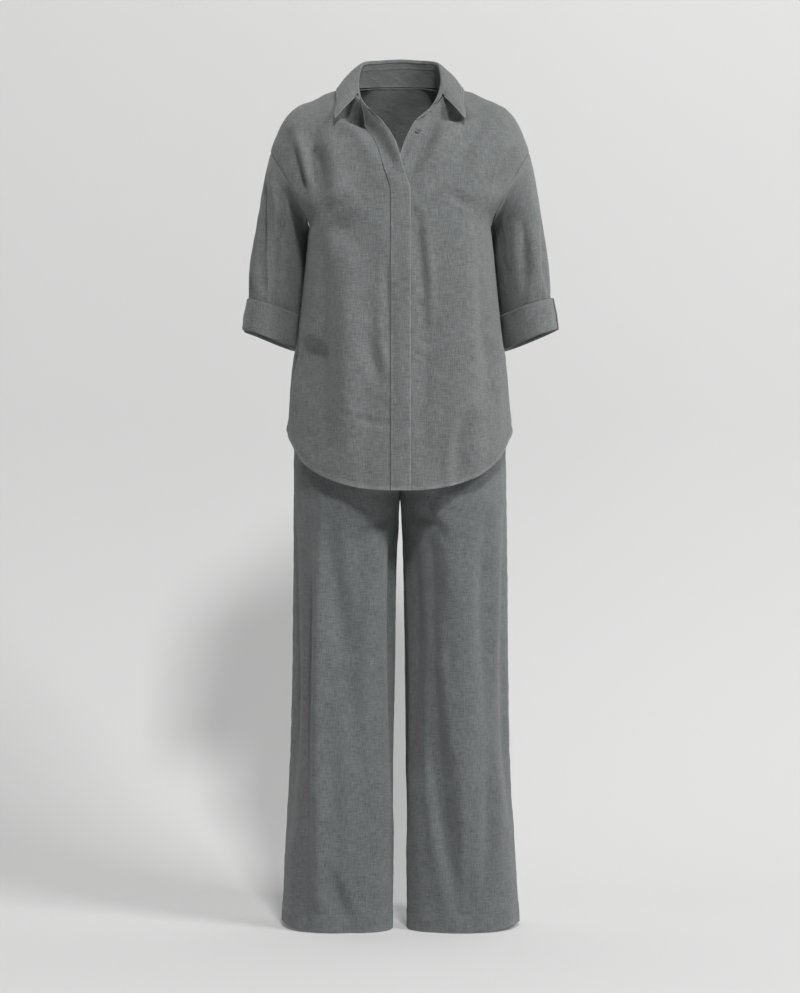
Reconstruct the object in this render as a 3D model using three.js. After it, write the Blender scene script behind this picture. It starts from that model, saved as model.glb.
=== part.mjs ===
// A linen shirt and wide trousers, filled out as if worn: every cut piece of cloth is a thin closed wall.
// Millimetres, +Z up, the front faces -Y and +X is the wearer's left. Heights in the tables are measured
// from the trouser hems; the last group moves everything down so that the origin is at the neck base,
// between the shoulders that carry the set.
import * as THREE from "three";

const V = (x, y, z) => new THREE.Vector3(x, y, z);
const { degToRad, lerp, smoothstep, clamp } = THREE.MathUtils;

// ---- Driving dimensions ----
const NECK_HEIGHT = 1440; // origin above the trouser hems
const CLOTH = 1.4; // wall of one piece of linen
const STRIP_CLOTH = 1.1; // wall of the two strips laid on the fronts
const GAP = 0.15; // each piece stops this far short of its seam, so neighbours are twice this apart
const CLEARANCE = 0.3; // between a panel and what lies on it
const STRIP_WIDTH = 34; // fly placket and button stand
const STRIP_INSET = 0.4; // the strips lie this far inside the fronts' edges
const STRIP_TOP = 3.5; // and end this far below the neck seam
const BUTTON_RADIUS = 5.2;
const BUTTON_THICKNESS = 1.8;
const TURN_UP_WALL = 2.4; // two layers of cloth rolled together
const WAISTBAND_HEIGHT = 36;
const HEM_LIFT = 9; // the trouser hem's outer side hangs this much higher

// ---- Shirt body: one row for each ring, from the hem to the neckline ----
// side: the ring's widest point as half width, Y and Z. front and back: Y and Z of its points on the
// centre line. power: 2 is an ellipse, more is squarer.
const BODY_RINGS = [
  { name: "hem", side: [193, -4, 849], front: [-150, 745], back: [142, 728], power: 2.4 },
  { name: "hip", side: [187, -4, 905], front: [-149, 905], back: [140, 905], power: 2.4 },
  { name: "waist", side: [176, -5, 1000], front: [-145, 1000], back: [132, 1000], power: 2.5 },
  { name: "ribs", side: [165, -5, 1100], front: [-140, 1100], back: [125, 1100], power: 2.8 },
  { name: "chest", side: [158, -4, 1170], front: [-136, 1170], back: [120, 1170], power: 3.1 },
  { name: "underarm", side: [158, 2, 1207], front: [-133, 1207], back: [118, 1207], power: 3.4 },
  { name: "armhole_low", side: [197, 5, 1246], front: [-129, 1246], back: [116, 1246], power: 2.7 },
  { name: "armhole_mid", side: [220, 7, 1287], front: [-122, 1286], back: [113, 1290], power: 2.4 },
  { name: "armhole_top", side: [222, 8, 1325], front: [-114, 1320], back: [108, 1332], power: 2.3 },
  { name: "arm_ball", side: [214, 9, 1353], front: [-108, 1333], back: [105, 1354], power: 2.25 },
  { name: "shoulder_tip", side: [201, 10, 1380], front: [-103, 1342], back: [101, 1373], power: 2.25 },
  { name: "shoulder_top", side: [183, 11, 1401], front: [-98, 1349], back: [97, 1390], power: 2.25 },
  { name: "shoulder_mid", side: [153, 12, 1417], front: [-94, 1355], back: [92, 1407], power: 2.3 },
  { name: "neck_slope", side: [123, 12, 1429], front: [-90, 1360], back: [87, 1423], power: 2.35 },
  { name: "neck_base", side: [100, 11, 1436], front: [-87, 1363], back: [82, 1437], power: 2.4 },
  { name: "neckline", side: [81, 9, 1442], front: [-84, 1366], back: [77, 1451], power: 2.4 },
];
const ringIndex = (rings, name) => rings.findIndex((r) => r.name === name);
const UNDERARM = ringIndex(BODY_RINGS, "underarm");
const ARMHOLE_TOP = ringIndex(BODY_RINGS, "armhole_top");
const NECKLINE = ringIndex(BODY_RINGS, "neckline");
const HEM_CURVE = { gentle: [0.62, 2.6], corner: [0.38, 10] }; // share and power of the shirt tail's rise
const SEAM_FORWARD = 12; // degrees that the shoulder seam lies in front of the shoulder's top at the neck

// How far each front's edge stands off the centre line, on its own side. Minus is past the centre.
const FRONT_EDGE = [
  { z: 700, right: -18, left: -19 },
  { z: 1248, right: -18, left: -19 },
  { z: 1277, right: -8, left: -8 },
  { z: 1311, right: 1, left: 1 },
  { z: 1330, right: 7, left: 7 },
  { z: 1349, right: 18, left: 15 },
  { z: 1367, right: 32, left: 24 },
  { z: 1376, right: 45, left: 30 },
  { z: 1387, right: 50, left: 41 },
  { z: 1396, right: 52, left: 60 },
  { z: 1500, right: 54, left: 62 },
];

// ---- Collar, for one side: from the front end round to the centre back ----
const ROLL_LINE = [
  { x: 71, y: -52, z: 1412 },
  { x: 71, y: -28, z: 1441 },
  { x: 68, y: 6, z: 1472 },
  { x: 60, y: 38, z: 1487 },
  { x: 34, y: 60, z: 1493 },
  { x: 0, y: 66, z: 1496 },
];
const LEAF_EDGE = [
  { angle: 36, ring: 11.35 }, // the collar point
  { angle: 56, ring: 12.9 },
  { angle: 88, ring: 13.7 },
  { angle: 130, ring: 14.2 },
  { angle: 180, ring: 14.4 },
];
// Down the leaf: share of the way from roll line to edge, and how far it stands out and up from there.
const LEAF_FALL = [
  { share: 0, out: 0.4, up: 2 },
  { share: 0.08, out: 3.6, up: 2.8 },
  { share: 0.4, out: 3.6, up: 3.2 },
  { share: 0.75, out: 2, up: 2.4 },
  { share: 1, out: 0, up: 0 },
];
const LEAF_HEIGHT_OFF_BODY = 4.2;
const LEAF_COLUMNS = 24;
const LEAF_START = 0.025; // the stand's ends reach this share of its length past the leaf

// ---- Sleeves: outer and inner point of each ring in front view, half depth, and its middle in Y ----
// lean: how far back the inner side sits, so that the hanging sleeve tucks in beside the body.
const SLEEVE_RINGS = [
  { outer: [229, 1297], inner: [159, 1197], depth: 68, middle: 8, lean: 8 },
  { outer: [236, 1262], inner: [158.6, 1184], depth: 67, middle: 10, lean: 22 },
  { outer: [242, 1225], inner: [159.2, 1166], depth: 67, middle: 12, lean: 36 },
  { outer: [248, 1184], inner: [160.8, 1141], depth: 66, middle: 13, lean: 42 },
  { outer: [253, 1145], inner: [163.6, 1112], depth: 65, middle: 13, lean: 44 },
  { outer: [257, 1108], inner: [168, 1080], depth: 64, middle: 12, lean: 44 },
  { outer: [259, 1074], inner: [174, 1046], depth: 63, middle: 11, lean: 40 },
  { outer: [263, 1047], inner: [179.5, 1017], depth: 63, middle: 10, lean: 36 },
  { outer: [266, 1022], inner: [184, 989], depth: 63, middle: 9, lean: 32 },
];
const SLEEVE_POWER = 2.2;
// The turn-up is rolled outwards over the sleeve's end: rings back from the end, and how far each stands off.
const TURN_UP = [
  { back: -0.08, out: 5 },
  { back: 0.3, out: 6.4 },
  { back: 1.1, out: 5.8 },
  { back: 2.05, out: 4.6 },
];
const ARMHOLE_STEPS = 8;
const AROUND = 2 * ARMHOLE_STEPS;
const SLIT_COLUMN = 15; // the turn-up's ends meet just behind the sleeve's outer side

// ---- Trousers: the left leg, from hem to waist ----
// sides: X of the outer and the inner side. depths: Y of the front and the back. crease: X of the foremost
// point. seams: Y where the front and the back panel meet the inseam or, above the crotch, the centre seams.
const LEG_RINGS = [
  { name: "hem", z: 0, sides: [204, 13], depths: [-90, 92], crease: 106, seams: [-30, -30] },
  { name: "shin", z: 130, sides: [197, 11], depths: [-89, 92], crease: 104, seams: [-28, -28] },
  { name: "calf", z: 270, sides: [188, 11], depths: [-89, 94], crease: 100, seams: [-24, -24] },
  { name: "knee", z: 420, sides: [184, 11], depths: [-91, 97], crease: 97, seams: [-18, -18] },
  { name: "thigh", z: 570, sides: [183, 8], depths: [-97, 103], crease: 94, seams: [-10, -10] },
  { name: "top_thigh", z: 680, sides: [183, 3.5], depths: [-105, 112], crease: 90, seams: [0, 0] },
  { name: "crotch", z: 738, sides: [183, 0], depths: [-111, 118], crease: 84, seams: [6, 6] },
  { name: "low_rise", z: 775, sides: [183, 0], depths: [-115, 121], crease: 66, seams: [-72, 84] },
  { name: "rise", z: 820, sides: [182, 0], depths: [-117, 122], crease: 40, seams: [-113, 117] },
  { name: "hip", z: 880, sides: [178, 0], depths: [-115, 120], crease: 20, seams: [-115, 120] },
  { name: "high_hip", z: 950, sides: [164, 0], depths: [-108, 110], crease: 14, seams: [-108, 110] },
  { name: "waist", z: 1008, sides: [142, 0], depths: [-101, 101], crease: 10, seams: [-101, 101] },
];
const LEG_POWER = 2.25;
const OUTSEAM_Y = 6;
const CROTCH = ringIndex(LEG_RINGS, "crotch");
const LEG_ROWS = [0, 0.5, 1, 2, 3, 4, 5, 5.5, CROTCH, 6.35, 6.7, 7, 7.5, 8, 9, 10, 11];
const LEG_COLUMNS = 8;

// ---- The largest folds: a trough (minus) or ridge from one point to another, in X and Z ----
// face: -1 is the front of the set, 1 its back. The right side is at minus X.
const FOLDS = [
  { face: -1, from: [-190, 1366], to: [-120, 1190], width: 30, height: -6 }, // into the right armpit
  { face: -1, from: [190, 1356], to: [122, 1196], width: 28, height: -5 }, // into the left armpit
  { face: -1, from: [-96, 1340], to: [-34, 1262], width: 30, height: -6 }, // below the right collar point
  { face: -1, from: [88, 1345], to: [40, 1250], width: 28, height: -5 }, // beside the button stand
  { face: -1, from: [-218, 1230], to: [-198, 1085], width: 24, height: -5 }, // down the right sleeve
  { face: -1, from: [222, 1220], to: [206, 1085], width: 24, height: -5 }, // down the left sleeve
  { face: -1, from: [52, 700], to: [56, 60], width: 32, height: -6 }, // inside the left leg's crease
  { face: -1, from: [-150, 640], to: [-158, 40], width: 30, height: -5 }, // outside the right leg's crease
  { face: 1, from: [-188, 1350], to: [-118, 1190], width: 32, height: -6 },
  { face: 1, from: [188, 1350], to: [118, 1190], width: 32, height: -6 },
  { face: 1, from: [-96, 690], to: [-112, 60], width: 34, height: -7 },
  { face: 1, from: [104, 680], to: [118, 80], width: 34, height: -7 },
];
const MIDDLE_Y = 8; // between the set's front and back faces
const FOLD_FADE = [5, 45]; // folds grow over this distance from the sides

// ---- Curves ----
const signedPower = (v, e) => Math.sign(v) * Math.abs(v) ** e;
const listOf = (count, make) => Array.from({ length: count }, (_, i) => make(i));

// A smooth blend of points at(0) to at(count - 1), at position t among them.
function blendRows(count, t, at) {
  const k = clamp(Math.floor(t), 0, count - 2);
  const u = t - k;
  const weights = [
    -0.5 * u + u * u - 0.5 * u ** 3,
    1 - 2.5 * u * u + 1.5 * u ** 3,
    0.5 * u + 2 * u * u - 1.5 * u ** 3,
    -0.5 * u * u + 0.5 * u ** 3,
  ];
  const sum = V(0, 0, 0);
  weights.forEach((w, i) => sum.addScaledVector(at(clamp(k - 1 + i, 0, count - 1)), w));
  return sum;
}

// How far a front's edge stands off the centre line at a height.
function edgeOffset(z, front) {
  const i = Math.max(1, FRONT_EDGE.findIndex((row) => row.z >= z));
  const [low, high] = [FRONT_EDGE[i - 1], FRONT_EDGE[i]];
  return lerp(low[front], high[front], (z - low.z) / (high.z - low.z));
}

// Running lengths along a list of points.
function lengthsAlong(points) {
  const lengths = [0];
  for (let i = 1; i < points.length; i++) lengths.push(lengths[i - 1] + points[i].distanceTo(points[i - 1]));
  return lengths;
}
// The place among a list's items, as a whole number and a share, where a running length is reached.
function placeAt(lengths, want) {
  const found = lengths.findIndex((l) => l >= want - 1e-9);
  const i = found < 1 ? (found < 0 ? lengths.length - 1 : 1) : found;
  return i - 1 + (want - lengths[i - 1]) / (lengths[i] - lengths[i - 1]);
}
const even = (columns) => (total) => listOf(columns + 1, (i) => (total * i) / columns);

// ---- The shirt body's surface ----
// A point of body ring k at an angle: 0 is the centre front, 90 the wearer's left side, 180 the centre back.
function ringPoint(k, angle) {
  const { side, front, back, power } = BODY_RINGS[k];
  const s = Math.sin(degToRad(angle));
  const c = Math.cos(degToRad(angle));
  const [endY, endZ] = c > 0 ? front : back;
  const x = side[0] * signedPower(s, 2 / power);
  const y = lerp(side[1], endY, Math.abs(c) ** (2 / power));
  if (k > 0) return V(x, y, lerp(side[2], endZ, Math.abs(c) ** 1.6));
  const across = Math.abs(x) / side[0];
  const rise = Object.values(HEM_CURVE).reduce((sum, [share, e]) => sum + share * across ** e, 0);
  return V(x, y, lerp(endZ, side[2], rise));
}
const bodyPoint = (angle, t) => blendRows(BODY_RINGS.length, t, (k) => ringPoint(k, angle));

// A node is a point and the direction that the cloth faces there.
function bodyNode(angle, t) {
  const inside = clamp(t, 0.02, NECKLINE - 0.02);
  const across = bodyPoint(angle + 0.5, inside).sub(bodyPoint(angle - 0.5, inside));
  const along = bodyPoint(angle, inside + 0.02).sub(bodyPoint(angle, inside - 0.02));
  return { p: bodyPoint(angle, t), n: across.cross(along).normalize() };
}

// Nodes of ring t between two angles, at the distances along the cloth that spacing() gives.
function bodyRow(t, from, to, spacing) {
  const angles = listOf(61, (i) => lerp(from, to, i / 60));
  const lengths = lengthsAlong(angles.map((a) => bodyPoint(a, t)));
  return spacing(lengths.at(-1)).map((want) => bodyNode(lerp(from, to, placeAt(lengths, want) / 60), t));
}

// The angle between two limits where a function of ring t's points changes sign.
function findAngle(t, from, to, f) {
  let [a, b] = [from, to];
  const end = Math.sign(f(bodyPoint(b, t)));
  for (let i = 0; i < 40; i++) {
    const middle = (a + b) / 2;
    if (Math.sign(f(bodyPoint(middle, t))) === end) b = middle;
    else a = middle;
  }
  return (a + b) / 2;
}

// The armhole lies in the slanting plane, parallel to Y, through the underarm and the armhole's top.
const [LOW_POINT, HIGH_POINT] = [BODY_RINGS[UNDERARM].side, BODY_RINGS[ARMHOLE_TOP].side];
const ARMHOLE_RUN = HIGH_POINT[0] - LOW_POINT[0];
const ARMHOLE_RISE = HIGH_POINT[2] - LOW_POINT[2];
const offArmhole = (p) => (p.x - LOW_POINT[0]) * ARMHOLE_RISE - (p.z - LOW_POINT[2]) * ARMHOLE_RUN;
const inArmhole = (t) => t > UNDERARM + 1e-6 && t < ARMHOLE_TOP - 1e-6;
const shoulderSeam = (t) => 90 - (SEAM_FORWARD * Math.max(t - ARMHOLE_TOP, 0)) / (NECKLINE - ARMHOLE_TOP);
const frontEnd = (t) => (inArmhole(t) ? findAngle(t, 20, 90, offArmhole) : shoulderSeam(t));
const backEnd = (t) => (inArmhole(t) ? findAngle(t, 160, 90, offArmhole) : shoulderSeam(t));
const edgeAngle = (t, front) => findAngle(t, -25, 80, (p) => p.x - edgeOffset(p.z, front));

// ---- Folds, mirroring and trimming ----
function foldAt(p) {
  const off = Math.abs(p.y - MIDDLE_Y);
  const facing = smoothstep(off, ...FOLD_FADE);
  let sum = 0;
  for (const { face, from, to, width, height } of FOLDS) {
    if (Math.sign(p.y - MIDDLE_Y) !== face) continue;
    const [dx, dz] = [to[0] - from[0], to[1] - from[1]];
    const u = clamp(((p.x - from[0]) * dx + (p.z - from[1]) * dz) / (dx * dx + dz * dz), 0, 1);
    const away = Math.hypot(p.x - from[0] - u * dx, p.z - from[1] - u * dz) / width;
    sum += height * Math.exp(-away * away) * Math.sin(Math.PI * lerp(0.12, 0.88, u)) * facing;
  }
  return sum;
}
function fold(rows) {
  for (const { p, n } of rows.flat()) p.addScaledVector(n, foldAt(p));
  return rows;
}
// Pieces are laid out on the wearer's left. The right one is mirrored, its columns turned to face out.
const flip = (v) => V(-v.x, v.y, v.z);
const onSide = (rows, side) =>
  side > 0 ? rows : rows.map((row) => row.map(({ p, n }) => ({ p: flip(p), n: flip(n) })).reverse());

// Pulls a grid's edges back from their seams.
function trim(rows, { left = 0, right = 0, bottom = 0, top = 0 }) {
  const pull = (node, next, by) => node.p.addScaledVector(next.p.clone().sub(node.p).normalize(), by);
  for (const row of rows) {
    if (left) pull(row[0], row[1], left);
    if (right) pull(row.at(-1), row.at(-2), right);
  }
  rows[0].forEach((node, i) => bottom && pull(node, rows[1][i], bottom));
  rows.at(-1).forEach((node, i) => top && pull(node, rows.at(-2)[i], top));
  return rows;
}

// ---- Walls ----
// rows: a grid of nodes. inner and outer: the wall's faces as distances along each node's direction, or
// functions of the node. closed: the last column joins the first.
function wall(rows, inner, outer, closed = false) {
  const offset = (face, node) => (typeof face === "function" ? face(node) : face);
  const [low, high] = [inner, outer].map((face) =>
    rows.map((row) => row.map((node) => node.p.clone().addScaledVector(node.n, offset(face, node)))),
  );
  const positions = [];
  const quad = (a, b, c, d) => [a, b, c, a, c, d].forEach((v) => positions.push(v.x, v.y, v.z));
  const columns = rows[0].length;
  const top = rows.length - 1;
  const last = closed ? columns : columns - 1;
  for (let i = 0; i < last; i++) {
    const e = (i + 1) % columns;
    for (let j = 0; j < top; j++) {
      quad(high[j][i], high[j][e], high[j + 1][e], high[j + 1][i]);
      quad(low[j][i], low[j + 1][i], low[j + 1][e], low[j][e]);
    }
    quad(low[0][i], low[0][e], high[0][e], high[0][i]);
    quad(low[top][i], high[top][i], high[top][e], low[top][e]);
  }
  for (let j = 0; j < top && !closed; j++) {
    quad(low[j][0], high[j][0], high[j + 1][0], low[j + 1][0]);
    quad(low[j][last], low[j + 1][last], high[j + 1][last], high[j][last]);
  }
  return new THREE.BufferGeometry().setAttribute("position", new THREE.Float32BufferAttribute(positions, 3));
}

// Directions for a grid of points, from its neighbours. around: the columns form a closed ring.
function nodesOf(rows, around = false) {
  const wrap = (i, count) => (around ? (i + count) % count : clamp(i, 0, count - 1));
  const next = (list, i, by) => list[wrap(i + by, list.length)];
  return rows.map((row, j) =>
    row.map((p, i) => {
      const across = next(row, i, 1).clone().sub(next(row, i, -1));
      const up = rows[Math.min(j + 1, rows.length - 1)][i];
      const along = up.clone().sub(rows[Math.max(j - 1, 0)][i]);
      return { p: p.clone(), n: across.cross(along).normalize() };
    }),
  );
}

// ---- Shirt fronts, with their strips, and the back ----
const STRIP_COLUMNS = 4;
const PANEL_COLUMNS = 6;
const BACK_COLUMNS = 14;
const ARMHOLE_TAIL = 40;
const LOWER_ROWS = [0, 0.4, 0.9, 1.5, 2.2, 3, 3.7, 4.5];
const ARMHOLE_ROWS = listOf(ARMHOLE_STEPS + 1, (k) =>
  lerp(UNDERARM, ARMHOLE_TOP, (1 - Math.cos((Math.PI * k) / ARMHOLE_STEPS)) / 2),
);
const UPPER_ROWS = listOf(NECKLINE - ARMHOLE_TOP, (k) => ARMHOLE_TOP + k + 1);
const BODY_ROWS = [...LOWER_ROWS, ...ARMHOLE_ROWS, ...UPPER_ROWS];

// The armhole takes this much off the ends of the rows beside it. Above and below it, the columns move
// over by as much, a little in each row, so that none jumps.
function armholeTail(t) {
  if (inArmhole(t)) return 0;
  return ARMHOLE_TAIL * (t <= UNDERARM ? smoothstep(t, 1.5, UNDERARM) : 1 - smoothstep(t, ARMHOLE_TOP, 12));
}
// A front's columns: those of the strip along its edge first, then those out to the side.
const frontSpacing = (t) => (total) => {
  const panel = total - armholeTail(t) - STRIP_WIDTH;
  const inner = listOf(PANEL_COLUMNS - 1, (i) => STRIP_WIDTH + (panel * (i + 1)) / PANEL_COLUMNS);
  return [...even(STRIP_COLUMNS)(STRIP_WIDTH), ...inner, total];
};
const backSpacing = (t) => (total) => {
  const tail = armholeTail(t);
  const inner = even(BACK_COLUMNS)(total - 2 * tail).slice(1, -1);
  return [0, ...inner.map((d) => d + tail), total];
};
function frontGrid(front) {
  const rows = BODY_ROWS.map((t) => bodyRow(t, edgeAngle(t, front), frontEnd(t), frontSpacing(t)));
  return fold(onSide(rows, front === "left" ? 1 : -1));
}
const backGrid = () => fold(BODY_ROWS.map((t) => bodyRow(t, backEnd(t), 360 - backEnd(t), backSpacing(t))));

// At the closing the right front rises over the button stand, and the fly placket over the buttons.
const RIGHT_RISE = 3 * CLEARANCE + STRIP_CLOTH + CLOTH;
const FLY_PUFF = [0, 2.2, 2.4, 2.4, 1]; // over the right front, from its stitch line to the fly's edge
const riseAt = (p) => RIGHT_RISE * (1 - smoothstep(-p.x, 26, 66)) * (1 - smoothstep(p.z, 1325, 1365));

const leftFront = () => wall(trim(frontGrid("left"), { right: GAP, top: GAP }), -CLOTH, 0);
const rightFront = () =>
  wall(trim(frontGrid("right"), { left: GAP, top: GAP }), ({ p }) => riseAt(p) - CLOTH, ({ p }) => riseAt(p));
function buttonStand() {
  const strip = frontGrid("left").map((row) => row.slice(0, STRIP_COLUMNS + 1));
  return wall(trim(strip, { left: STRIP_INSET, top: STRIP_TOP }), CLEARANCE, CLEARANCE + STRIP_CLOTH);
}
function flyPlacket() {
  const strip = frontGrid("right").map((row) =>
    row.slice(-STRIP_COLUMNS - 1).map((node, i) => ({ ...node, puff: FLY_PUFF[i] })),
  );
  const under = ({ p, puff }) => riseAt(p) + CLEARANCE + puff;
  const over = (node) => under(node) + STRIP_CLOTH;
  return wall(trim(strip, { right: STRIP_INSET, top: STRIP_TOP }), under, over);
}
const back = () => wall(trim(backGrid(), { left: GAP, right: GAP, top: GAP }), -CLOTH, 0);

// ---- Collar ----
// A point on the roll line, from the left front end at 0 round the back to the right front end at 1.
function rollPoint(u) {
  const left = ROLL_LINE.map(({ x, y, z }) => V(x, y, z));
  const line = [...left, ...left.slice(0, -1).reverse().map(flip)];
  return blendRows(line.length, u * (line.length - 1), (i) => line[i]);
}
function leafEdgePoint(u) {
  const side = u <= 0.5 ? 1 : -1;
  const place = (1 - Math.abs(2 * u - 1)) * (LEAF_EDGE.length - 1);
  const { x, y } = blendRows(LEAF_EDGE.length, place, (i) => V(LEAF_EDGE[i].angle, LEAF_EDGE[i].ring, 0));
  const { p, n } = bodyNode(x, y);
  const edge = p.addScaledVector(n, LEAF_HEIGHT_OFF_BODY);
  return V(edge.x * side, edge.y, edge.z);
}
function collarStand() {
  const grids = [frontGrid("left"), backGrid(), frontGrid("right")];
  const [left, behind, right] = grids.map((grid) => grid.at(-1));
  const base = [...left, ...behind.slice(1), ...right.slice(1)].map(({ p }) => p);
  const lengths = lengthsAlong(base);
  const rows = [0, 0.5, 1].map((share) =>
    base.map((p, i) => {
      const top = rollPoint(lengths[i] / lengths.at(-1));
      const foot = p.clone().addScaledVector(top.clone().sub(p).normalize(), 2 * GAP + CLOTH / 2);
      return foot.lerp(top, share);
    }),
  );
  return wall(nodesOf(rows), -CLOTH, 0);
}
function collarLeaf() {
  const places = listOf(LEAF_COLUMNS + 1, (c) => lerp(LEAF_START, 1 - LEAF_START, c / LEAF_COLUMNS));
  const rows = LEAF_FALL.map(({ share, out, up }) =>
    places.map((u, c) => {
      const top = rollPoint(u);
      const edge = leafEdgePoint(c / LEAF_COLUMNS);
      const ahead = rollPoint(u + 0.01).sub(rollPoint(u - 0.01));
      const outward = V(ahead.y, -ahead.x, 0).normalize();
      return top.lerp(edge, share).addScaledVector(outward, out).add(V(0, 0, up));
    }),
  );
  return wall(nodesOf(rows.reverse()), -CLOTH, 0);
}

// ---- Sleeves ----
// The armhole's nodes, from its top down the front to the underarm and up the back.
function armholeNodes(side) {
  const front = ARMHOLE_ROWS.map((t) => bodyNode(frontEnd(t), t)).reverse();
  const behind = ARMHOLE_ROWS.map((t) => bodyNode(backEnd(t), t));
  const loop = [...front, ...behind.slice(1, -1)];
  return fold(loop.map((node) => onSide([[node]], side)[0]));
}
function sleeveRingPoint({ outer, inner, depth, middle, lean }, k, side) {
  const angle = (2 * Math.PI * k) / AROUND;
  const outward = (1 + signedPower(Math.cos(angle), 2 / SLEEVE_POWER)) / 2;
  const forward = signedPower(Math.sin(angle), 2 / SLEEVE_POWER);
  const y = middle - depth * forward + lean * (1 - outward) ** 2;
  return V(side * lerp(inner[0], outer[0], outward), y, lerp(inner[1], outer[1], outward));
}
// Rings of points down a sleeve at positions along it: 0 is the armhole, then one for each sleeve ring.
const SLEEVE_END = SLEEVE_RINGS.length;
function sleeveTube(side, positions) {
  const offArm = V(0.86 * side, 0, -0.5).multiplyScalar(2 * GAP);
  const armhole = armholeNodes(side).map(([{ p }]) => p.add(offArm));
  const rings = [armhole, ...SLEEVE_RINGS.map((r) => listOf(AROUND, (k) => sleeveRingPoint(r, k, side)))];
  const rowAt = (at) => listOf(AROUND, (k) => blendRows(rings.length, at, (j) => rings[j][k]));
  const rows = positions.map((at) => (side > 0 ? rowAt(at).reverse() : rowAt(at)));
  return nodesOf(rows.reverse(), true);
}
function sleeve(side) {
  const nodes = sleeveTube(side, listOf(SLEEVE_END + 1, (k) => k));
  fold(nodes.slice(3, -1));
  return wall(nodes, -CLOTH, 0, true);
}
function turnUp(side) {
  const nodes = sleeveTube(side, TURN_UP.map(({ back: rings }) => SLEEVE_END - rings).reverse());
  const rows = nodes.map((row, j) => {
    const raised = row.map(({ p, n }) => ({ p: p.addScaledVector(n, TURN_UP[j].out), n }));
    const start = side > 0 ? AROUND - 1 - SLIT_COLUMN : SLIT_COLUMN;
    const opened = [...raised.slice(start), ...raised.slice(0, start)];
    return [...opened, { p: opened[0].p.clone(), n: opened[0].n }];
  });
  return wall(trim(rows, { left: 1.5, right: 1.5 }), -TURN_UP_WALL, 0);
}

// ---- Buttons ----
// Radius and height as shares of the button's own, from the middle of its base to the middle of its dish.
const BUTTON_PROFILE = [[0, 0], [0.8, 0], [1, 0.45], [0.85, 1], [0.65, 0.78], [0, 0.74]];
const BUTTON_SIDES = 14;
const FLY_BUTTON_HEIGHTS = listOf(6, (i) => 1252 - 80 * i);
const OPEN_BUTTON_HEIGHT = 1347;
// A button lies on the middle of a front's strip, at a height.
function button(front, height, rise) {
  const column = front === "left" ? STRIP_COLUMNS / 2 : -1 - STRIP_COLUMNS / 2;
  const middles = frontGrid(front).map((row) => row.at(column));
  const j = middles.findIndex(({ p }) => p.z >= height);
  const share = (height - middles[j - 1].p.z) / (middles[j].p.z - middles[j - 1].p.z);
  const n = middles[j - 1].n.clone().lerp(middles[j].n, share).normalize();
  const p = middles[j - 1].p.clone().lerp(middles[j].p, share).addScaledVector(n, rise);
  const profile = BUTTON_PROFILE.map(([r, h]) => new THREE.Vector2(r * BUTTON_RADIUS, h * BUTTON_THICKNESS));
  const turn = new THREE.Quaternion().setFromUnitVectors(V(0, 1, 0), n);
  return new THREE.LatheGeometry(profile, BUTTON_SIDES).applyQuaternion(turn).translate(p.x, p.y, p.z);
}

// ---- Trousers ----
// A point of a leg ring. half: -1 is the front panel, 1 the back. u: 0 at the outseam to 2 at the inner seam.
function legRingPoint(ring, half, u) {
  const depth = ring.depths[half < 0 ? 0 : 1];
  const seamY = u <= 1 ? OUTSEAM_Y : ring.seams[half < 0 ? 0 : 1];
  const turn = (Math.PI / 2) * (u <= 1 ? u : 2 - u);
  const reach = Math.cos(turn) ** (2 / LEG_POWER);
  const depthShare = Math.sin(turn) ** (2 / LEG_POWER);
  const lift = ring.z === 0 && u <= 1 ? HEM_LIFT * Math.cos(turn) ** 2 : 0;
  const sideX = ring.sides[u <= 1 ? 0 : 1];
  return V(lerp(ring.crease, sideX, reach), lerp(seamY, depth, depthShare), ring.z + lift);
}
// One panel's points in a row, evenly spaced from the outseam to the inner seam. The inseam ends at the
// crotch, so the rings below it and above it are blended apart.
function legRow(half, t) {
  const ring = (k) => LEG_RINGS[t <= CROTCH ? Math.min(k, CROTCH) : Math.max(k, CROTCH)];
  const pointAt = (u) => blendRows(LEG_RINGS.length, t, (k) => legRingPoint(ring(k), half, u));
  const points = listOf(65, (i) => pointAt(i / 32));
  const lengths = lengthsAlong(points);
  return even(LEG_COLUMNS)(lengths.at(-1)).map((want) => {
    const place = placeAt(lengths, want);
    const i = Math.min(Math.floor(place), points.length - 2);
    return points[i].clone().lerp(points[i + 1], place - i);
  });
}
// Both panels' nodes. A seam's nodes are shared by its two panels, so their walls face each other squarely.
function legNodes() {
  const ring = LEG_ROWS.map((t) => [...legRow(-1, t).reverse(), ...legRow(1, t).slice(1)]);
  const nodes = nodesOf(ring);
  nodes.forEach((row, j) => {
    const [first, last] = [row[0], row.at(-1)];
    if (LEG_ROWS[j] < CROTCH) first.n.add(last.n).normalize();
    for (const { n } of [first, last]) {
      if (LEG_ROWS[j] < CROTCH) n.copy(first.n);
      else if (LEG_ROWS[j] === CROTCH) n.set(-1, 0, 0);
      else n.setX(0).normalize();
    }
    for (const { p } of row) p.setX(Math.max(p.x, GAP));
  });
  return nodes;
}
function trouserPanel(side, half) {
  const rows = legNodes().map((row) => (half < 0 ? row.slice(0, LEG_COLUMNS + 1) : row.slice(LEG_COLUMNS)));
  return wall(trim(fold(onSide(rows, side)), { left: GAP, right: GAP, top: GAP }), -CLOTH, 0);
}
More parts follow.
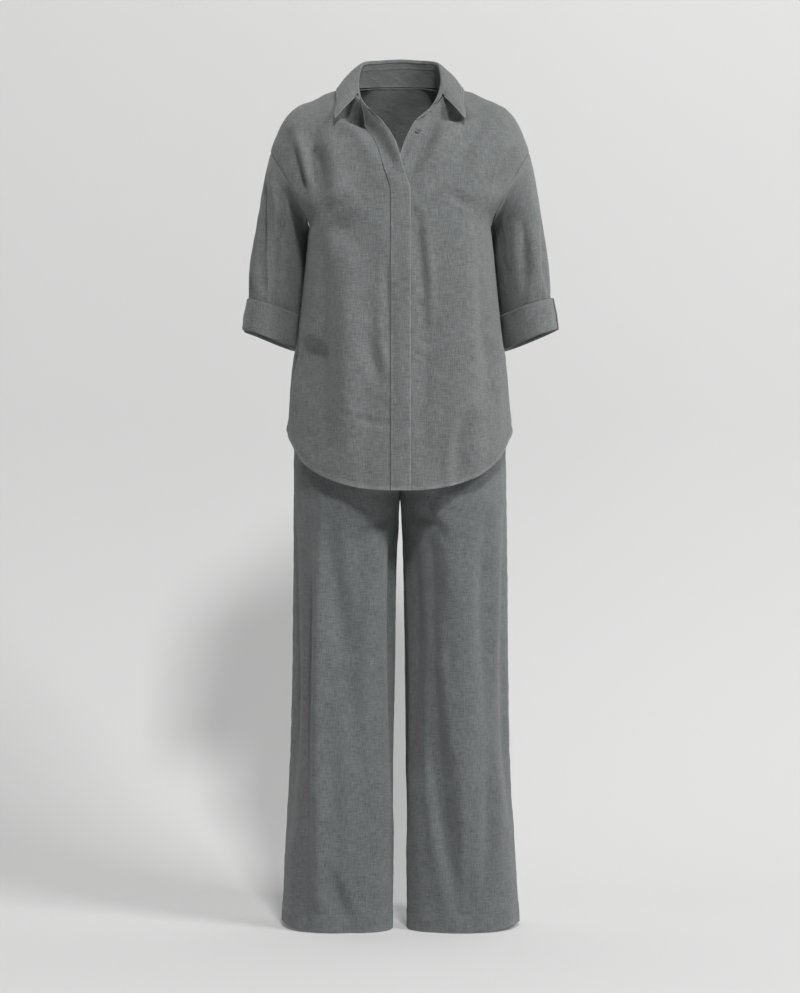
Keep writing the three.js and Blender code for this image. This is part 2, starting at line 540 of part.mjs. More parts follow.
function waistband() {
  const waist = LEG_RINGS.at(-1);
  const ring = [-1, 1].flatMap((half) => {
    const points = even(LEG_COLUMNS)(2).map((u) => legRingPoint(waist, half, u));
    return half < 0 ? points.reverse() : points.slice(1);
  });
  const loop = [...ring, ...ring.slice(1, -1).reverse().map((p) => flip(p))];
  const rows = [2 * GAP, WAISTBAND_HEIGHT].map((h) => loop.map((p) => V(p.x, p.y, p.z + h)));
  return wall(nodesOf(rows, true), -CLOTH, 0, true);
}

// ---- The set ----
const LINEN = { color: 0x747776, roughness: 0.92, metalness: 0 };
const BUTTON = { color: 0x5c6467, roughness: 0.35, metalness: 0 };
const set = new THREE.Group();
set.position.z = -NECK_HEIGHT;
function add(name, geometry, look = LINEN) {
  const mesh = new THREE.Mesh(geometry, new THREE.MeshStandardMaterial(look));
  mesh.name = name;
  set.add(mesh);
}
add("shirt_front_left", leftFront());
add("shirt_front_right", rightFront());
add("shirt_button_stand", buttonStand());
add("shirt_fly_placket", flyPlacket());
add("shirt_back", back());
add("shirt_collar_stand", collarStand());
add("shirt_collar_leaf", collarLeaf());
for (const [name, side] of [["left", 1], ["right", -1]]) {
  add(`shirt_sleeve_${name}`, sleeve(side));
  add(`shirt_turn_up_${name}`, turnUp(side));
  add(`trouser_front_${name}`, trouserPanel(side, -1));
  add(`trouser_back_${name}`, trouserPanel(side, 1));
}
add("trouser_waistband", waistband());
add("shirt_open_button", button("left", OPEN_BUTTON_HEIGHT, 2 * CLEARANCE + STRIP_CLOTH), BUTTON);
FLY_BUTTON_HEIGHTS.forEach((height, i) => {
  add(`shirt_fly_button_${i + 1}`, button("right", height, RIGHT_RISE + CLEARANCE), BUTTON);
});

export default set;
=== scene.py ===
# %% [markdown]
# # A linen shirt and wide trousers
# A loose shirt with a collar, a covered fly and rolled sleeves hangs over wide straight trousers. Both are
# one grey linen, filled out as if worn, with nobody inside. Cloth could be simulated, but then nobody says
# where it folds. So every piece of cloth is worked out as a fine grid on the form that its cut gives it, then
# creased, given its thickness, and covered with a woven finish.

# %% The frame and the units
import math

import bpy
import numpy as np
from mathutils import Matrix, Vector
from mathutils.kdtree import KDTree


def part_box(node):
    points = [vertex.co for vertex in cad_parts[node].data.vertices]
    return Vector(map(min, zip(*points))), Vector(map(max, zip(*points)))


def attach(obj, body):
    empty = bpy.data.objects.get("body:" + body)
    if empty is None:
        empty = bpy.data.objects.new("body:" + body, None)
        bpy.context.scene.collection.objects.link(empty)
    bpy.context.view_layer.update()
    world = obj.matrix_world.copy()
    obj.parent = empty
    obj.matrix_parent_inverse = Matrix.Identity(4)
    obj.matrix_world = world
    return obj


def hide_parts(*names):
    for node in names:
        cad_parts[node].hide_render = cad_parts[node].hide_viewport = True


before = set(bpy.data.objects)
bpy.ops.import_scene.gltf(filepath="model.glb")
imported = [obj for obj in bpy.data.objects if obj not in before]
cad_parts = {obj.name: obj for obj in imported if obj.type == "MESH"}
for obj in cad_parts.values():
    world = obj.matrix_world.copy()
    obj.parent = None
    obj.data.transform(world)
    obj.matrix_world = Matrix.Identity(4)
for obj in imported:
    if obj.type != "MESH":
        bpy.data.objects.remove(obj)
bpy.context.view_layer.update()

MM = 0.001
NECK_HEIGHT = 1440.0  # the origin's height above the trouser hems, in millimetres


def to_metres(points):
    """Points in millimetres, with heights from the trouser hems, in the frame's own metres."""
    return (np.asarray(points, dtype=float) - (0.0, 0.0, NECK_HEIGHT)) * MM


# %% [markdown]
# ## Camera
# A garment is best judged straight from the front, from far enough away that its sides don't bulge. The
# camera stands four metres off, level, at half the set's height, and its lens is worked out from how tall a
# stretch of the room it should take in at that distance.

# %% Camera
CAMERA_AWAY = 4.0
CAMERA_HEIGHT = 735 * MM  # above the trouser hems
VIEW_TALL = 1.708  # metres of the set's own plane, from the frame's bottom to its top
FRAME_SIZE = (800, 993)
SENSOR_TALL = 36.0


def add_camera():
    data = bpy.data.cameras.new("camera")
    data.sensor_fit = "VERTICAL"
    data.sensor_height = SENSOR_TALL
    data.sensor_width = SENSOR_TALL * FRAME_SIZE[0] / FRAME_SIZE[1]
    data.lens = SENSOR_TALL * CAMERA_AWAY / VIEW_TALL
    camera = bpy.data.objects.new("camera", data)
    camera.location = (0.0, -CAMERA_AWAY, CAMERA_HEIGHT - NECK_HEIGHT * MM)
    camera.rotation_euler = (math.radians(90), 0.0, 0.0)
    bpy.context.scene.collection.objects.link(camera)
    bpy.context.scene.camera = camera
    return camera


print("lens, mm:", round(add_camera().data.lens, 2))

# %% [markdown]
# ## Curves that everything is drawn with
# The cloth's forms are given as a few rings, one for each height that matters. A smooth blend between rings
# gives the surface at any height, so a few rows in a table are enough for a whole garment, and a ring can be
# changed by hand as a tailor changes a measure.

# %% Blends
def lerp(a, b, share):
    return a + (b - a) * share


def smoothstep(x, low, high):
    u = np.clip((x - low) / (high - low), 0.0, 1.0)
    return u * u * (3 - 2 * u)


def signed_power(v, e):
    return np.sign(v) * np.abs(v) ** e


def blend_rows(count, t, at):
    """Smooth blend of the points at(0) to at(count - 1), at the positions t among them."""
    k = np.clip(np.floor(t), 0, count - 2).astype(int)
    u = t - k
    weights = (
        -0.5 * u + u**2 - 0.5 * u**3,
        1 - 2.5 * u**2 + 1.5 * u**3,
        0.5 * u + 2 * u**2 - 1.5 * u**3,
        -0.5 * u**2 + 0.5 * u**3,
    )
    return sum(w[..., None] * at(np.clip(k - 1 + i, 0, count - 1)) for i, w in enumerate(weights))


def running(points, axis=0):
    """Running length along one axis of a grid of points."""
    points = np.moveaxis(points, axis, 0)
    steps = np.linalg.norm(np.diff(points, axis=0), axis=-1)
    lengths = np.concatenate([np.zeros((1,) + steps.shape[1:]), np.cumsum(steps, axis=0)])
    return np.moveaxis(lengths, 0, axis)


print("a quarter of the way up, a smooth step has risen by", float(smoothstep(0.25, 0, 1)))

# %% [markdown]
# A grid should have squares of one size, wherever the surface is wide or narrow. So its lines are spaced by
# the distance along the cloth, closer together where a seam or a row of stitches needs finer shapes.

# %% Even steps
def spread(near, far, step):
    """Distances from 0 to a total: those in near first, even steps, and those in far back from the end.

    The steps' number comes from the longest total, so that every row or column gets as many.
    """

    def distances(total):
        total = np.atleast_1d(total)[:, None]
        count = math.ceil((total.max() - near[-1] - far[-1]) / step)
        middle = near[-1] + (total - near[-1] - far[-1]) * np.arange(1, count) / count
        return np.hstack([np.array(near) + 0 * total, middle, total - np.array(far)[::-1]])

    return distances


def whole(value):
    return lambda t: np.full_like(t, float(value))


print("100 mm in steps of about 30:", spread((0.0,), (0.0,), 30.0)(100.0)[0].tolist())

# %% Laying a grid on a surface
FINE_ROWS = 240
FINE_COLUMNS = 541


def lay_out(surface, left, right, low, high, across, along):
    """Places a grid on surface(a, t): rows from t = low to high, columns from a = left(t) to right(t)."""
    t = np.linspace(low, high, FINE_ROWS)
    start, end = left(t)[:, None], right(t)[:, None]
    fine_a = start + (end - start) * np.linspace(0, 1, FINE_COLUMNS)
    fine_t = t[:, None] + 0 * fine_a
    lengths = running(surface(fine_a, fine_t), axis=1)
    wanted = across(lengths[:, -1])
    a = np.array([np.interp(w, length, row) for w, length, row in zip(wanted, lengths, fine_a)])
    t = t[:, None] + 0 * a
    lengths = running(surface(a, t), axis=0)
    wanted = along(lengths[-1])
    columns = [
        (np.interp(w, length, a_column), np.interp(w, length, t_column))
        for w, length, a_column, t_column in zip(wanted, lengths.T, a.T, t.T)
    ]
    return np.array([c[0] for c in columns]).T, np.array([c[1] for c in columns]).T


def facing(surface, a, t, da, dt, low, high):
    """The directions that surface(a, t) faces. da is minus where a falls from left to right."""
    inside = np.clip(t, low + dt, high - dt)
    across = surface(a + da, inside) - surface(a - da, inside)
    out = np.cross(across, surface(a, inside + dt) - surface(a, inside - dt))
    return out / np.maximum(np.linalg.norm(out, axis=-1, keepdims=True), 1e-9)


# %% [markdown]
# ## The shirt's body
# A shirt's body is a tube that hangs from the shoulders and widens to its hem. Each ring here is a rounded
# outline with its own width, depth and height. Angle 0 is the centre front, 90 the wearer's left side and 180
# the centre back, so a cut piece is a range of angles between two edges.

# %% The body's rings
# Half width, Y and Z of the side point; Y and Z at the centre front; Y and Z at the centre back; squareness.
BODY_RINGS = np.array([
    [193, -4, 849, -150, 745, 142, 728, 2.4],  # hem
    [187, -4, 905, -149, 905, 140, 905, 2.4],  # hip
    [176, -5, 1000, -145, 1000, 132, 1000, 2.5],  # waist
    [165, -5, 1100, -140, 1100, 125, 1100, 2.8],  # ribs
    [158, -4, 1170, -136, 1170, 120, 1170, 3.1],  # chest
    [158, 2, 1207, -133, 1207, 118, 1207, 3.4],  # underarm
    [197, 5, 1246, -129, 1246, 116, 1246, 2.7],  # armhole, low
    [220, 7, 1287, -122, 1286, 113, 1290, 2.4],  # armhole, middle
    [222, 8, 1325, -114, 1320, 108, 1332, 2.3],  # armhole, top
    [214, 9, 1353, -108, 1333, 105, 1354, 2.25],  # ball of the arm
    [201, 10, 1380, -103, 1342, 101, 1373, 2.25],  # shoulder tip
    [183, 11, 1401, -98, 1349, 97, 1390, 2.25],
    [153, 12, 1417, -94, 1355, 92, 1407, 2.3],  # middle of the shoulder
    [123, 12, 1429, -90, 1360, 87, 1423, 2.35],
    [100, 11, 1436, -87, 1363, 82, 1437, 2.4],  # neck base
    [81, 9, 1442, -84, 1366, 77, 1451, 2.4],  # neckline
], dtype=float)
UNDERARM = 5  # rows of the table
ARMHOLE_TOP = 8
NECKLINE = 15
SEAM_FORWARD = 12  # degrees that the shoulder seam lies in front of the shoulder's top at the neck
HEM_GENTLE = (0.62, 2.6)  # share and power of the tail's rise
HEM_CORNER = (0.38, 10)
FLATTER = 1.6  # power by which a ring's height changes from its side to its front


def body_ring(k, angle):
    side, side_y, side_z, front_y, front_z, back_y, back_z, power = np.moveaxis(BODY_RINGS[k], -1, 0)
    s, c = np.sin(np.radians(angle)), np.cos(np.radians(angle))
    end_y = np.where(c > 0, front_y, back_y)
    end_z = np.where(c > 0, front_z, back_z)
    x = side * signed_power(s, 2 / power)
    y = lerp(side_y, end_y, np.abs(c) ** (2 / power))
    z = lerp(side_z, end_z, np.abs(c) ** FLATTER)
    out = np.abs(x) / side
    rise = sum(share * out**e for share, e in (HEM_GENTLE, HEM_CORNER))
    z = np.where(k == 0, lerp(end_z, side_z, rise), z)
    return np.stack([x, y, z], axis=-1)


def body(angle, t):
    angle, t = np.broadcast_arrays(np.asarray(angle, float), np.asarray(t, float))
    return blend_rows(len(BODY_RINGS), t, lambda k: body_ring(k, angle))


def find_angle(t, low, high, side_of):
    """The angle between two limits where side_of(point) changes sign, for each t, or else the high limit."""
    t = np.asarray(t, float)
    a, b = np.full_like(t, low), np.full_like(t, high)
    end = np.sign(side_of(body(b, t)))
    changes = np.sign(side_of(body(a, t))) != end
    for _ in range(40):
        middle = (a + b) / 2
        same = np.sign(side_of(body(middle, t))) == end
        b = np.where(same, middle, b)
        a = np.where(same, a, middle)
    return np.where(changes, (a + b) / 2, high)


print("shirt length at the back, mm:", round(float(running(body(180.0, np.linspace(0, NECKLINE, 99)))[-1])))

# %% [markdown]
# The armhole is cut in a slanting plane from the underarm to the shoulder's tip. The fronts overlap at the
# centre and open out into a V, so each front's edge is given by how far it stands off the centre line.

# %% The edges of the cut pieces
LOW_POINT = BODY_RINGS[UNDERARM, [0, 2]]
HIGH_POINT = BODY_RINGS[ARMHOLE_TOP, [0, 2]]
# Height, then how far the right and the left front's edge stands off the centre, on its own side.
FRONT_EDGE = np.array([
    [700, -18, -19],
    [1248, -18, -19],
    [1277, -8, -8],
    [1311, 1, 1],
    [1330, 7, 7],
    [1349, 18, 15],
    [1367, 32, 24],
    [1376, 45, 30],
    [1387, 50, 41],
    [1396, 52, 60],
    [1500, 54, 62],
], dtype=float)
EDGE_EASE = (-6, -3, 0, 3, 6)  # the edge is an average over these heights, which rounds its corners


def off_armhole(p):
    run, rise = HIGH_POINT - LOW_POINT
    return (p[..., 0] - LOW_POINT[0]) * rise - (p[..., 2] - LOW_POINT[1]) * run


def shoulder_seam(t):
    return 90 - SEAM_FORWARD * np.maximum(t - ARMHOLE_TOP, 0) / (NECKLINE - ARMHOLE_TOP)


def armhole_or_seam(t, low):
    inside = (t > UNDERARM + 1e-6) & (t < ARMHOLE_TOP - 1e-6)
    return np.where(inside, find_angle(t, low, 90, off_armhole), shoulder_seam(t))


def front_end(t):
    return armhole_or_seam(np.asarray(t, float), 20)


def back_end(t):
    return armhole_or_seam(np.asarray(t, float), 160)


def edge_offset(z, side):
    column = FRONT_EDGE[:, 1 if side < 0 else 2]
    return np.mean([np.interp(z + ease, FRONT_EDGE[:, 0], column) for ease in EDGE_EASE], axis=0)


def front_edge(side):
    return lambda t: find_angle(t, -25, 80, lambda p: p[..., 0] - edge_offset(p[..., 2], side))


hem_angles = [float(front_edge(side)(np.zeros(1))[0]) for side in (-1, 1)]
print("angles of the right and the left front's edge at the hem:", [round(a, 1) for a in hem_angles])

# %% [markdown]
# ## Uneven cloth
# Real linen is never smooth. It carries broad soft waves where it hangs, short shallow lumps all over, and
# sharper creases where it bends. Smooth noise gives the first two. It is read at points in space, so two
# pieces that meet at a seam get the same lumps and stay together.

# %% Smooth noise
DICE = np.random.default_rng(20)
SHUFFLE = DICE.permutation(256)
SLOPES = DICE.normal(size=(64, 3))
SLOPES /= np.linalg.norm(SLOPES, axis=1)[:, None]


def lumps(points, size, shift=0.0):
    """Smooth noise from about -0.5 to 0.5. size: millimetres from one lump to the next, along X, Y and Z."""
    q = points / np.asarray(size, float) + shift
    cell = np.floor(q).astype(int)
    local = q - cell
    ease = local**3 * (local * (local * 6 - 15) + 10)
    total = np.zeros(q.shape[:-1])
    for corner in np.ndindex(2, 2, 2):
        c = cell + corner
        mixed = SHUFFLE[(SHUFFLE[(SHUFFLE[c[..., 0] & 255] + c[..., 1]) & 255] + c[..., 2]) & 255]
        weight = np.prod(np.where(corner, ease, 1 - ease), axis=-1)
        total += weight * np.sum((local - corner) * SLOPES[mixed % 64], axis=-1)
    return total


def crumple(points, size, shift=0.0):
    """Fine creases: smooth lumps that meet in narrow valleys, bent by larger ones."""
    bent = points + 0.5 * size * np.stack([lumps(points, 2.2 * size, s) for s in (3.1, 7.7, 9.3)], axis=-1)
    return np.abs(lumps(bent, size, shift)) - 0.2


sample = lumps(np.stack(np.meshgrid(np.arange(0, 900, 30), np.arange(0, 900, 30), [7.0]), axis=-1), 62.0)
print("lumps at sample points run from", round(float(sample.min()), 2), "to", round(float(sample.max()), 2))

# %% [markdown]
# ## The main creases
# These are listed one by one. Each is a soft trough (minus) or ridge from one point to another, with its own
# width, height, sideways bend and lean, so that no two match. A trough has a low lip on each side, as folded
# cloth does, and it fades out at both ends and where the cloth turns away from the side it is on.

# %% Crease table
# part, face, from (across, height), to (across, height), bend, width, height, lean. Across is X on the
# front and back, and Y on the left and right sides.
CREASES = [
    # Shirt front
    ("body sleeve", "front", (-190, 1345), (-166, 1215), -6, 15, -15.8, 0.4),
    ("body sleeve", "front", (-172, 1330), (-148, 1190), -4, 12, 7.6, 0.0),
    ("body sleeve", "front", (197, 1330), (160, 1225), 4, 14, -11.2, -0.4),
    ("body", "front", (60, 1384), (18, 1284), -5, 9, -9.5, -0.3),
    ("body", "front", (84, 1362), (38, 1270), -4, 15, 7.2, 0.0),
    ("body", "front", (146, 1374), (102, 1290), 4, 15, -8.5, 0.2),
    ("body", "front", (-88, 1402), (-12, 1290), -10, 11, -13.8, 0.4),
    ("body", "front", (-92, 1392), (-54, 1368), 0, 14, -11.2, 0.0),
    ("body", "front", (78, 1404), (106, 1374), 2, 10, -8.2, 0.0),
    ("body", "front", (-150, 1236), (-80, 1165), 10, 25, -11.2, 0.0),
    ("body", "front", (-146, 1300), (-142, 850), 4, 22, -17.9, 0.3),
    ("body", "front", (-148, 1352), (-124, 1252), 5, 15, -9.5, 0.0),
    ("body", "front", (-130, 1130), (-124, 830), 7, 22, -13.0, 0.0),
    ("body", "front", (-90, 1150), (-88, 800), -8, 24, 9.5, 0.0),
    ("body", "front", (-56, 1000), (-22, 915), 3, 11, -4.5, 0.0),
    ("body", "front", (-38, 1075), (-24, 900), 0, 8, 3.1, 0.0),
    ("body", "front", (-92, 872), (-8, 853), 3, 6, -2.1, 0.0),
    ("body", "front", (27, 1205), (40, 1000), -5, 10, -7.5, 0.3),
    ("body", "front", (34, 1061), (37, 1046), 0, 4, -3.9, 0.0),
    ("body", "front", (23, 1004), (54, 986), 2, 4, -2.4, 0.0),
    ("body", "front", (22, 976), (46, 960), -2, 4, -2.1, 0.0),
    ("body", "front", (-24, 1134), (-20, 1056), 0, 6, -3.6, 0.0),
    ("body", "front", (46, 1010), (40, 800), 6, 14, -6.1, 0.0),
    ("body", "front", (108, 1190), (104, 810), 6, 26, 9.5, 0.0),
    ("body", "front", (107, 862), (94, 764), 3, 13, -14.4, -0.3),
    ("body", "front", (143, 1180), (150, 900), -6, 14, -9.5, 0.3),
    ("body", "front", (-152, 1060), (-160, 880), 5, 13, -10.1, 0.0),
    ("body", "front", (76, 1240), (30, 1200), 4, 10, -4.0, 0.0),
    ("body", "front", (150, 1215), (84, 1240), -6, 9, -5.4, 0.2),
    ("body", "front", (-152, 1212), (-92, 1232), 5, 9, -5.4, 0.2),
    # Shirt back
    ("body sleeve", "back", (-192, 1350), (-150, 1200), 8, 16, -14.7, 0.3),
    ("body sleeve", "back", (190, 1352), (152, 1205), -7, 15, -13.5, -0.3),
    ("body", "back", (-128, 1345), (-86, 1215), 6, 20, -9.0, 0.2),
    ("body", "back", (120, 1340), (84, 1195), -5, 18, -9.9, 0.0),
    ("body", "back", (-34, 1250), (-52, 960), 8, 20, -10.4, 0.3),
    ("body", "back", (44, 1215), (60, 900), -7, 17, -11.2, -0.3),
    ("body", "back", (4, 1130), (-4, 780), 5, 26, 8.1, 0.0),
    ("body", "back", (-118, 1120), (-122, 800), -8, 18, -12.1, 0.3),
    ("body", "back", (126, 1150), (120, 840), 6, 16, -10.4, 0.0),
    ("body", "back", (-86, 960), (-20, 925), 5, 9, -4.0, 0.0),
    ("body", "back", (20, 945), (94, 972), -6, 9, -4.7, 0.0),
    ("body", "back", (96, 862), (30, 846), 4, 8, -2.9, 0.0),
    # Shirt sides
    ("body", "right", (-30, 1130), (-14, 880), 6, 15, -10.2, 0.2),
    ("body", "right", (40, 1090), (30, 900), -4, 14, -7.8, 0.0),
    ("body", "left", (-24, 1120), (-8, 890), 5, 14, -9.0, 0.0),
    ("body", "left", (48, 1060), (34, 880), -5, 16, -8.6, 0.2),
    # Sleeves
    ("sleeve", "front", (-228, 1262), (-229, 1075), 3, 7, -8.5, 0.5),
    ("sleeve", "front", (-208, 1290), (-206, 1090), 2, 9, 6.1, 0.0),
    ("sleeve", "front", (-212, 1278), (-191, 1228), 0, 7, -5.1, 0.0),
    ("sleeve", "front", (-201, 1190), (-188, 1056), 0, 13, -17.0, 0.4),
    ("sleeve", "front", (-246, 1140), (-244, 1080), 0, 8, 3.4, 0.0),
    ("sleeve", "front", (211, 1200), (186, 1056), -5, 15, -14.0, -0.2),
    ("sleeve", "front", (230, 1240), (222, 1120), 0, 14, 3.4, 0.0),
    ("sleeve", "front", (196, 1180), (180, 1090), 0, 10, 4.4, 0.0),
    ("sleeve", "front", (245, 1100), (243, 1058), 0, 3.4, -9.2, 0.0),
    ("sleeve", "front", (184, 1130), (176, 1080), 0, 7, -4.0, 0.0),
    ("sleeve", "back", (-216, 1250), (-204, 1070), 6, 11, -10.1, 0.3),
    ("sleeve", "back", (-240, 1180), (-236, 1060), 0, 9, -6.8, 0.0),
    ("sleeve", "back", (214, 1255), (200, 1080), -5, 12, -10.1, -0.3),
    ("sleeve", "back", (240, 1170), (238, 1065), 0, 8, -7.1, 0.0),
    ("sleeve", "left", (-18, 1190), (-26, 1075), 4, 9, -6.8, 0.0),
    ("sleeve", "left", (34, 1210), (26, 1080), -4, 11, -7.4, 0.0),
    ("sleeve", "right", (-14, 1200), (-22, 1080), -4, 9, -7.4, 0.0),
    ("sleeve", "right", (38, 1190), (30, 1075), 4, 11, -6.8, 0.0),
    # Trouser fronts
    ("leg", "front", (-150, 730), (-156, 40), 6, 15, -11.2, 0.3),
    ("leg", "front", (-128, 720), (-134, 60), 5, 17, 8.1, 0.0),
    ("leg", "front", (-60, 700), (-74, 380), 9, 20, -7.6, 0.2),
    ("leg", "front", (-118, 100), (-84, 14), 0, 15, -7.0, 0.3),
    ("leg", "front", (-84, 420), (-60, 120), -8, 16, -6.3, 0.0),
    ("leg", "front", (-36, 560), (-34, 240), 4, 14, -5.8, 0.0),
    ("leg", "front", (12, 730), (26, 280), 0, 30, -20.0, 0.0),
    ("leg", "front", (44, 710), (56, 380), -6, 17, -12.0, -0.3),
    ("leg", "front", (56, 420), (98, 40), 6, 15, -15.0, -0.2),
    ("leg", "front", (66, 560), (84, 300), 4, 9, 4.5, 0.0),
    ("leg", "front", (-128, 729), (-93, 480), 5, 16, -8.0, 0.0),
    ("leg", "front", (96, 730), (110, 60), -8, 26, 7.6, 0.0),
    ("leg", "front", (146, 700), (150, 330), 6, 15, -8.1, 0.0),
    ("leg", "front", (150, 300), (140, 60), -5, 14, -7.6, 0.2),
    ("leg", "front", (122, 240), (120, 30), 4, 9, -4.0, 0.0),
    ("leg", "front", (-20, 700), (-70, 650), 6, 10, -5.0, 0.0),
    ("leg", "front", (22, 704), (80, 662), -6, 10, -4.7, 0.0),
    # Trouser backs
    ("leg", "back", (-96, 720), (-110, 60), 10, 18, -13.5, 0.3),
    ("leg", "back", (-140, 640), (-150, 90), -6, 15, -9.0, 0.0),
    ("leg", "back", (-50, 640), (-60, 260), 6, 15, -8.1, 0.0),
    ("leg", "back", (104, 720), (116, 70), -9, 18, -13.5, -0.3),
    ("leg", "back", (150, 660), (154, 120), 6, 15, -8.6, 0.0),
    ("leg", "back", (52, 600), (60, 220), -6, 14, -8.1, 0.0),
    ("leg", "back", (-24, 716), (-96, 646), 9, 12, -9.4, 0.2),
    ("leg", "back", (26, 718), (100, 640), -9, 12, -9.9, -0.2),
    ("leg", "back", (-40, 470), (-120, 440), 5, 9, -3.6, 0.0),
    ("leg", "back", (50, 450), (126, 482), -5, 9, -4.0, 0.0),
    # Trouser sides
    ("leg", "left", (-30, 700), (-26, 200), 7, 18, -9.9, 0.0),
    ("leg", "left", (42, 640), (38, 120), -7, 18, -9.0, 0.2),
    ("leg", "right", (-26, 690), (-30, 160), -7, 18, -9.0, 0.0),
    ("leg", "right", (44, 620), (40, 140), 7, 18, -9.9, -0.2),
]
print("creases:", len(CREASES))

# %% Creases
FACES = {"front": (0, -1), "back": (0, 1), "left": (1, 0), "right": (-1, 0)}
LIP = 0.3  # height of a crease's lips, as a share of its own
LIP_AWAY = 1.9  # and how many widths they stand off
LIP_WIDE = 0.9


def crease(points, normals, part):
    total = np.zeros(points.shape[:-1])
    for parts, face, start, end, bend, width, height, lean in CREASES:
        if part not in parts:
            continue
        towards = normals[..., 0] * FACES[face][0] + normals[..., 1] * FACES[face][1]
        across = points[..., 0 if FACES[face][0] == 0 else 1]
        run = np.subtract(end, start)
        length = np.hypot(*run)
        dx, dz = across - start[0], points[..., 2] - start[1]
        u = (dx * run[0] + dz * run[1]) / length**2
        off = (dx * run[1] - dz * run[0]) / length - bend * np.sin(math.pi * np.clip(u, 0, 1))
        beyond = (np.clip(u, 0, 1) - u) * length
        near = np.hypot(off, beyond) / (width * (1 + lean * np.sign(off)))
        shape = np.exp(-(near**2)) - LIP * np.exp(-(((near - LIP_AWAY) / LIP_WIDE) ** 2))
        fade = np.sin(math.pi * lerp(0.08, 0.92, np.clip(u, 0, 1))) ** 0.8
        total += height * shape * fade * smoothstep(towards, 0.05, 0.45)
    return total


chest = crease(np.array([[-88.0, -130.0, 1380.0]]), np.array([[0.0, -1.0, 0.0]]), "body")
print("at one place on the chest they add up to, mm:", round(float(chest[0]), 1))

# %% [markdown]
# ## From grids to cloth
# A grid of points becomes a mesh of quads with one coordinate pair per corner that says, in metres, where on
# the woven cloth that corner lies. The weave then follows the piece, as it does on a cut piece of linen. An
# unwrap by Blender would give such coordinates too, but it wouldn't know which way the threads run.

# %% Directions and distances
def unit(vectors):
    return vectors / np.maximum(np.linalg.norm(vectors, axis=-1, keepdims=True), 1e-9)


def distance_to(points, line, step=0.8):
    """Each point's distance from the nearest place on a line of points."""
    lengths = running(line)
    places = np.linspace(0, lengths[-1], int(lengths[-1] / step) + 2)
    fine = np.stack([np.interp(places, lengths, line[:, i]) for i in range(3)], axis=-1)
    tree = KDTree(len(fine))
    for i, place in enumerate(fine):
        tree.insert(place, i)
    tree.balance()
    flat = points.reshape(-1, 3)
    return np.array([tree.find(place)[2] for place in flat]).reshape(points.shape[:-1])


upright = np.array([[0.0, 0.0, 0.0], [0.0, 0.0, 100.0]])
away = float(distance_to(np.array([3.0, 4.0, 50.0]), upright))
print("3 to the right of a line and 4 behind it, a point is this far off:", round(away, 1))

# %% Sheets of cloth
class Sheet:
    """A grid of points on a piece of cloth, in millimetres, with the directions that it faces.

    ring: the last column joins the first.
    """

    def __init__(self, points, cloth_u, cloth_v, out=None, ring=False):
        self.points = points
        self.cloth = np.stack([cloth_u, cloth_v], axis=-1)
        self.ring = ring
        self.unhighlighted = None  # an edge that gets no painted highlight
        self.out = self.directions() if out is None else out

    def directions(self):
        p = self.points
        across = np.roll(p, -1, axis=1) - np.roll(p, 1, axis=1) if self.ring else np.gradient(p, axis=1)
        return unit(np.cross(across, np.gradient(p, axis=0)))

    def mirrored(self):
        """The same sheet on the other side of the body, with its columns turned so that it faces out."""
        points, out = ((v * (-1, 1, 1))[:, ::-1] for v in (self.points, self.out))
        cloth = (self.cloth * (-1, 1))[:, ::-1]
        if self.ring:
            points, out = np.roll(points, 1, axis=1), np.roll(out, 1, axis=1)
        return Sheet(points, cloth[..., 0], cloth[..., 1], out, self.ring)

    def from_edge(self, edge):
        """Each point's distance from the left, right, bottom or top edge, along the cloth."""
        axis = 1 if edge in ("left", "right") else 0
        lengths = running(self.points, axis)
        if edge in ("right", "top"):
            last = lengths[:, -1:] if axis == 1 else lengths[-1:]
            lengths = last - lengths
        return lengths

    def line(self, edge, distance):
        """The points at a distance from one edge, and the directions that they face."""
        lengths = self.from_edge(edge)
        both = np.concatenate([self.points, self.out], axis=-1)
        if edge in ("left", "right"):
            lengths, both = lengths.T, both.transpose(1, 0, 2)
        if edge in ("right", "top"):
            lengths, both = lengths[::-1], both[::-1]
        picked = np.array([[np.interp(distance, lengths[:, j], both[:, j, i]) for i in range(6)]
                           for j in range(both.shape[1])])
        return picked[:, :3], picked[:, 3:]

    def push(self, amount):
        self.points = self.points + self.out * np.asarray(amount)[..., None]
        return self

    def faces(self):
        rows, columns = self.points.shape[:2]
        last = columns if self.ring else columns - 1
        j, i = np.meshgrid(np.arange(rows - 1), np.arange(last), indexing="ij")
        e = (i + 1) % columns
        below, above = j * columns, (j + 1) * columns
        vertices = np.stack([below + i, below + e, above + e, above + i], axis=-1)
        cloth = self.cloth
        corners = np.stack([cloth[j, i], cloth[j, i + 1], cloth[j + 1, i + 1], cloth[j + 1, i]], axis=-2)
        return vertices.reshape(-1, 4), corners.reshape(-1, 2)


def plain_spread(step):
    return spread((0.0,), (0.0,), step)


flat = np.stack([*np.meshgrid([0.0, 10.0], [0.0, 10.0], indexing="xy"), np.zeros((2, 2))], axis=-1)
print("a sheet laid flat faces", Sheet(flat, flat[..., 0], flat[..., 1]).out[0, 0].tolist())

# %% [markdown]
# ## Edges, hems and seams
# Where two pieces are sewn together the cloth dips into the seam and puckers beside it. A hem is turned up
# and stitched, so it stands a little proud, with a shallow groove under its stitches and small waves along
# it. Each of these is a height that depends on the distance from an edge, so they can simply be added up.

# %% Edge details
SEAM_DIP = 0.9
SEAM_WIDTH = 1.8
PUCKER_SIZE = 15.0
PUCKER_REACH = (3, 22)  # puckers fade out between these distances from a seam
HEM_RAISE = 0.7
HEM_WAVE = 12.0
HEM_WAVE_REACH = 14  # how far past its stitches a hem still waves
GROOVE_WIDTH = 1.1
NEAR_SEAM = (0.0, 1.2, 2.6, 5.0)


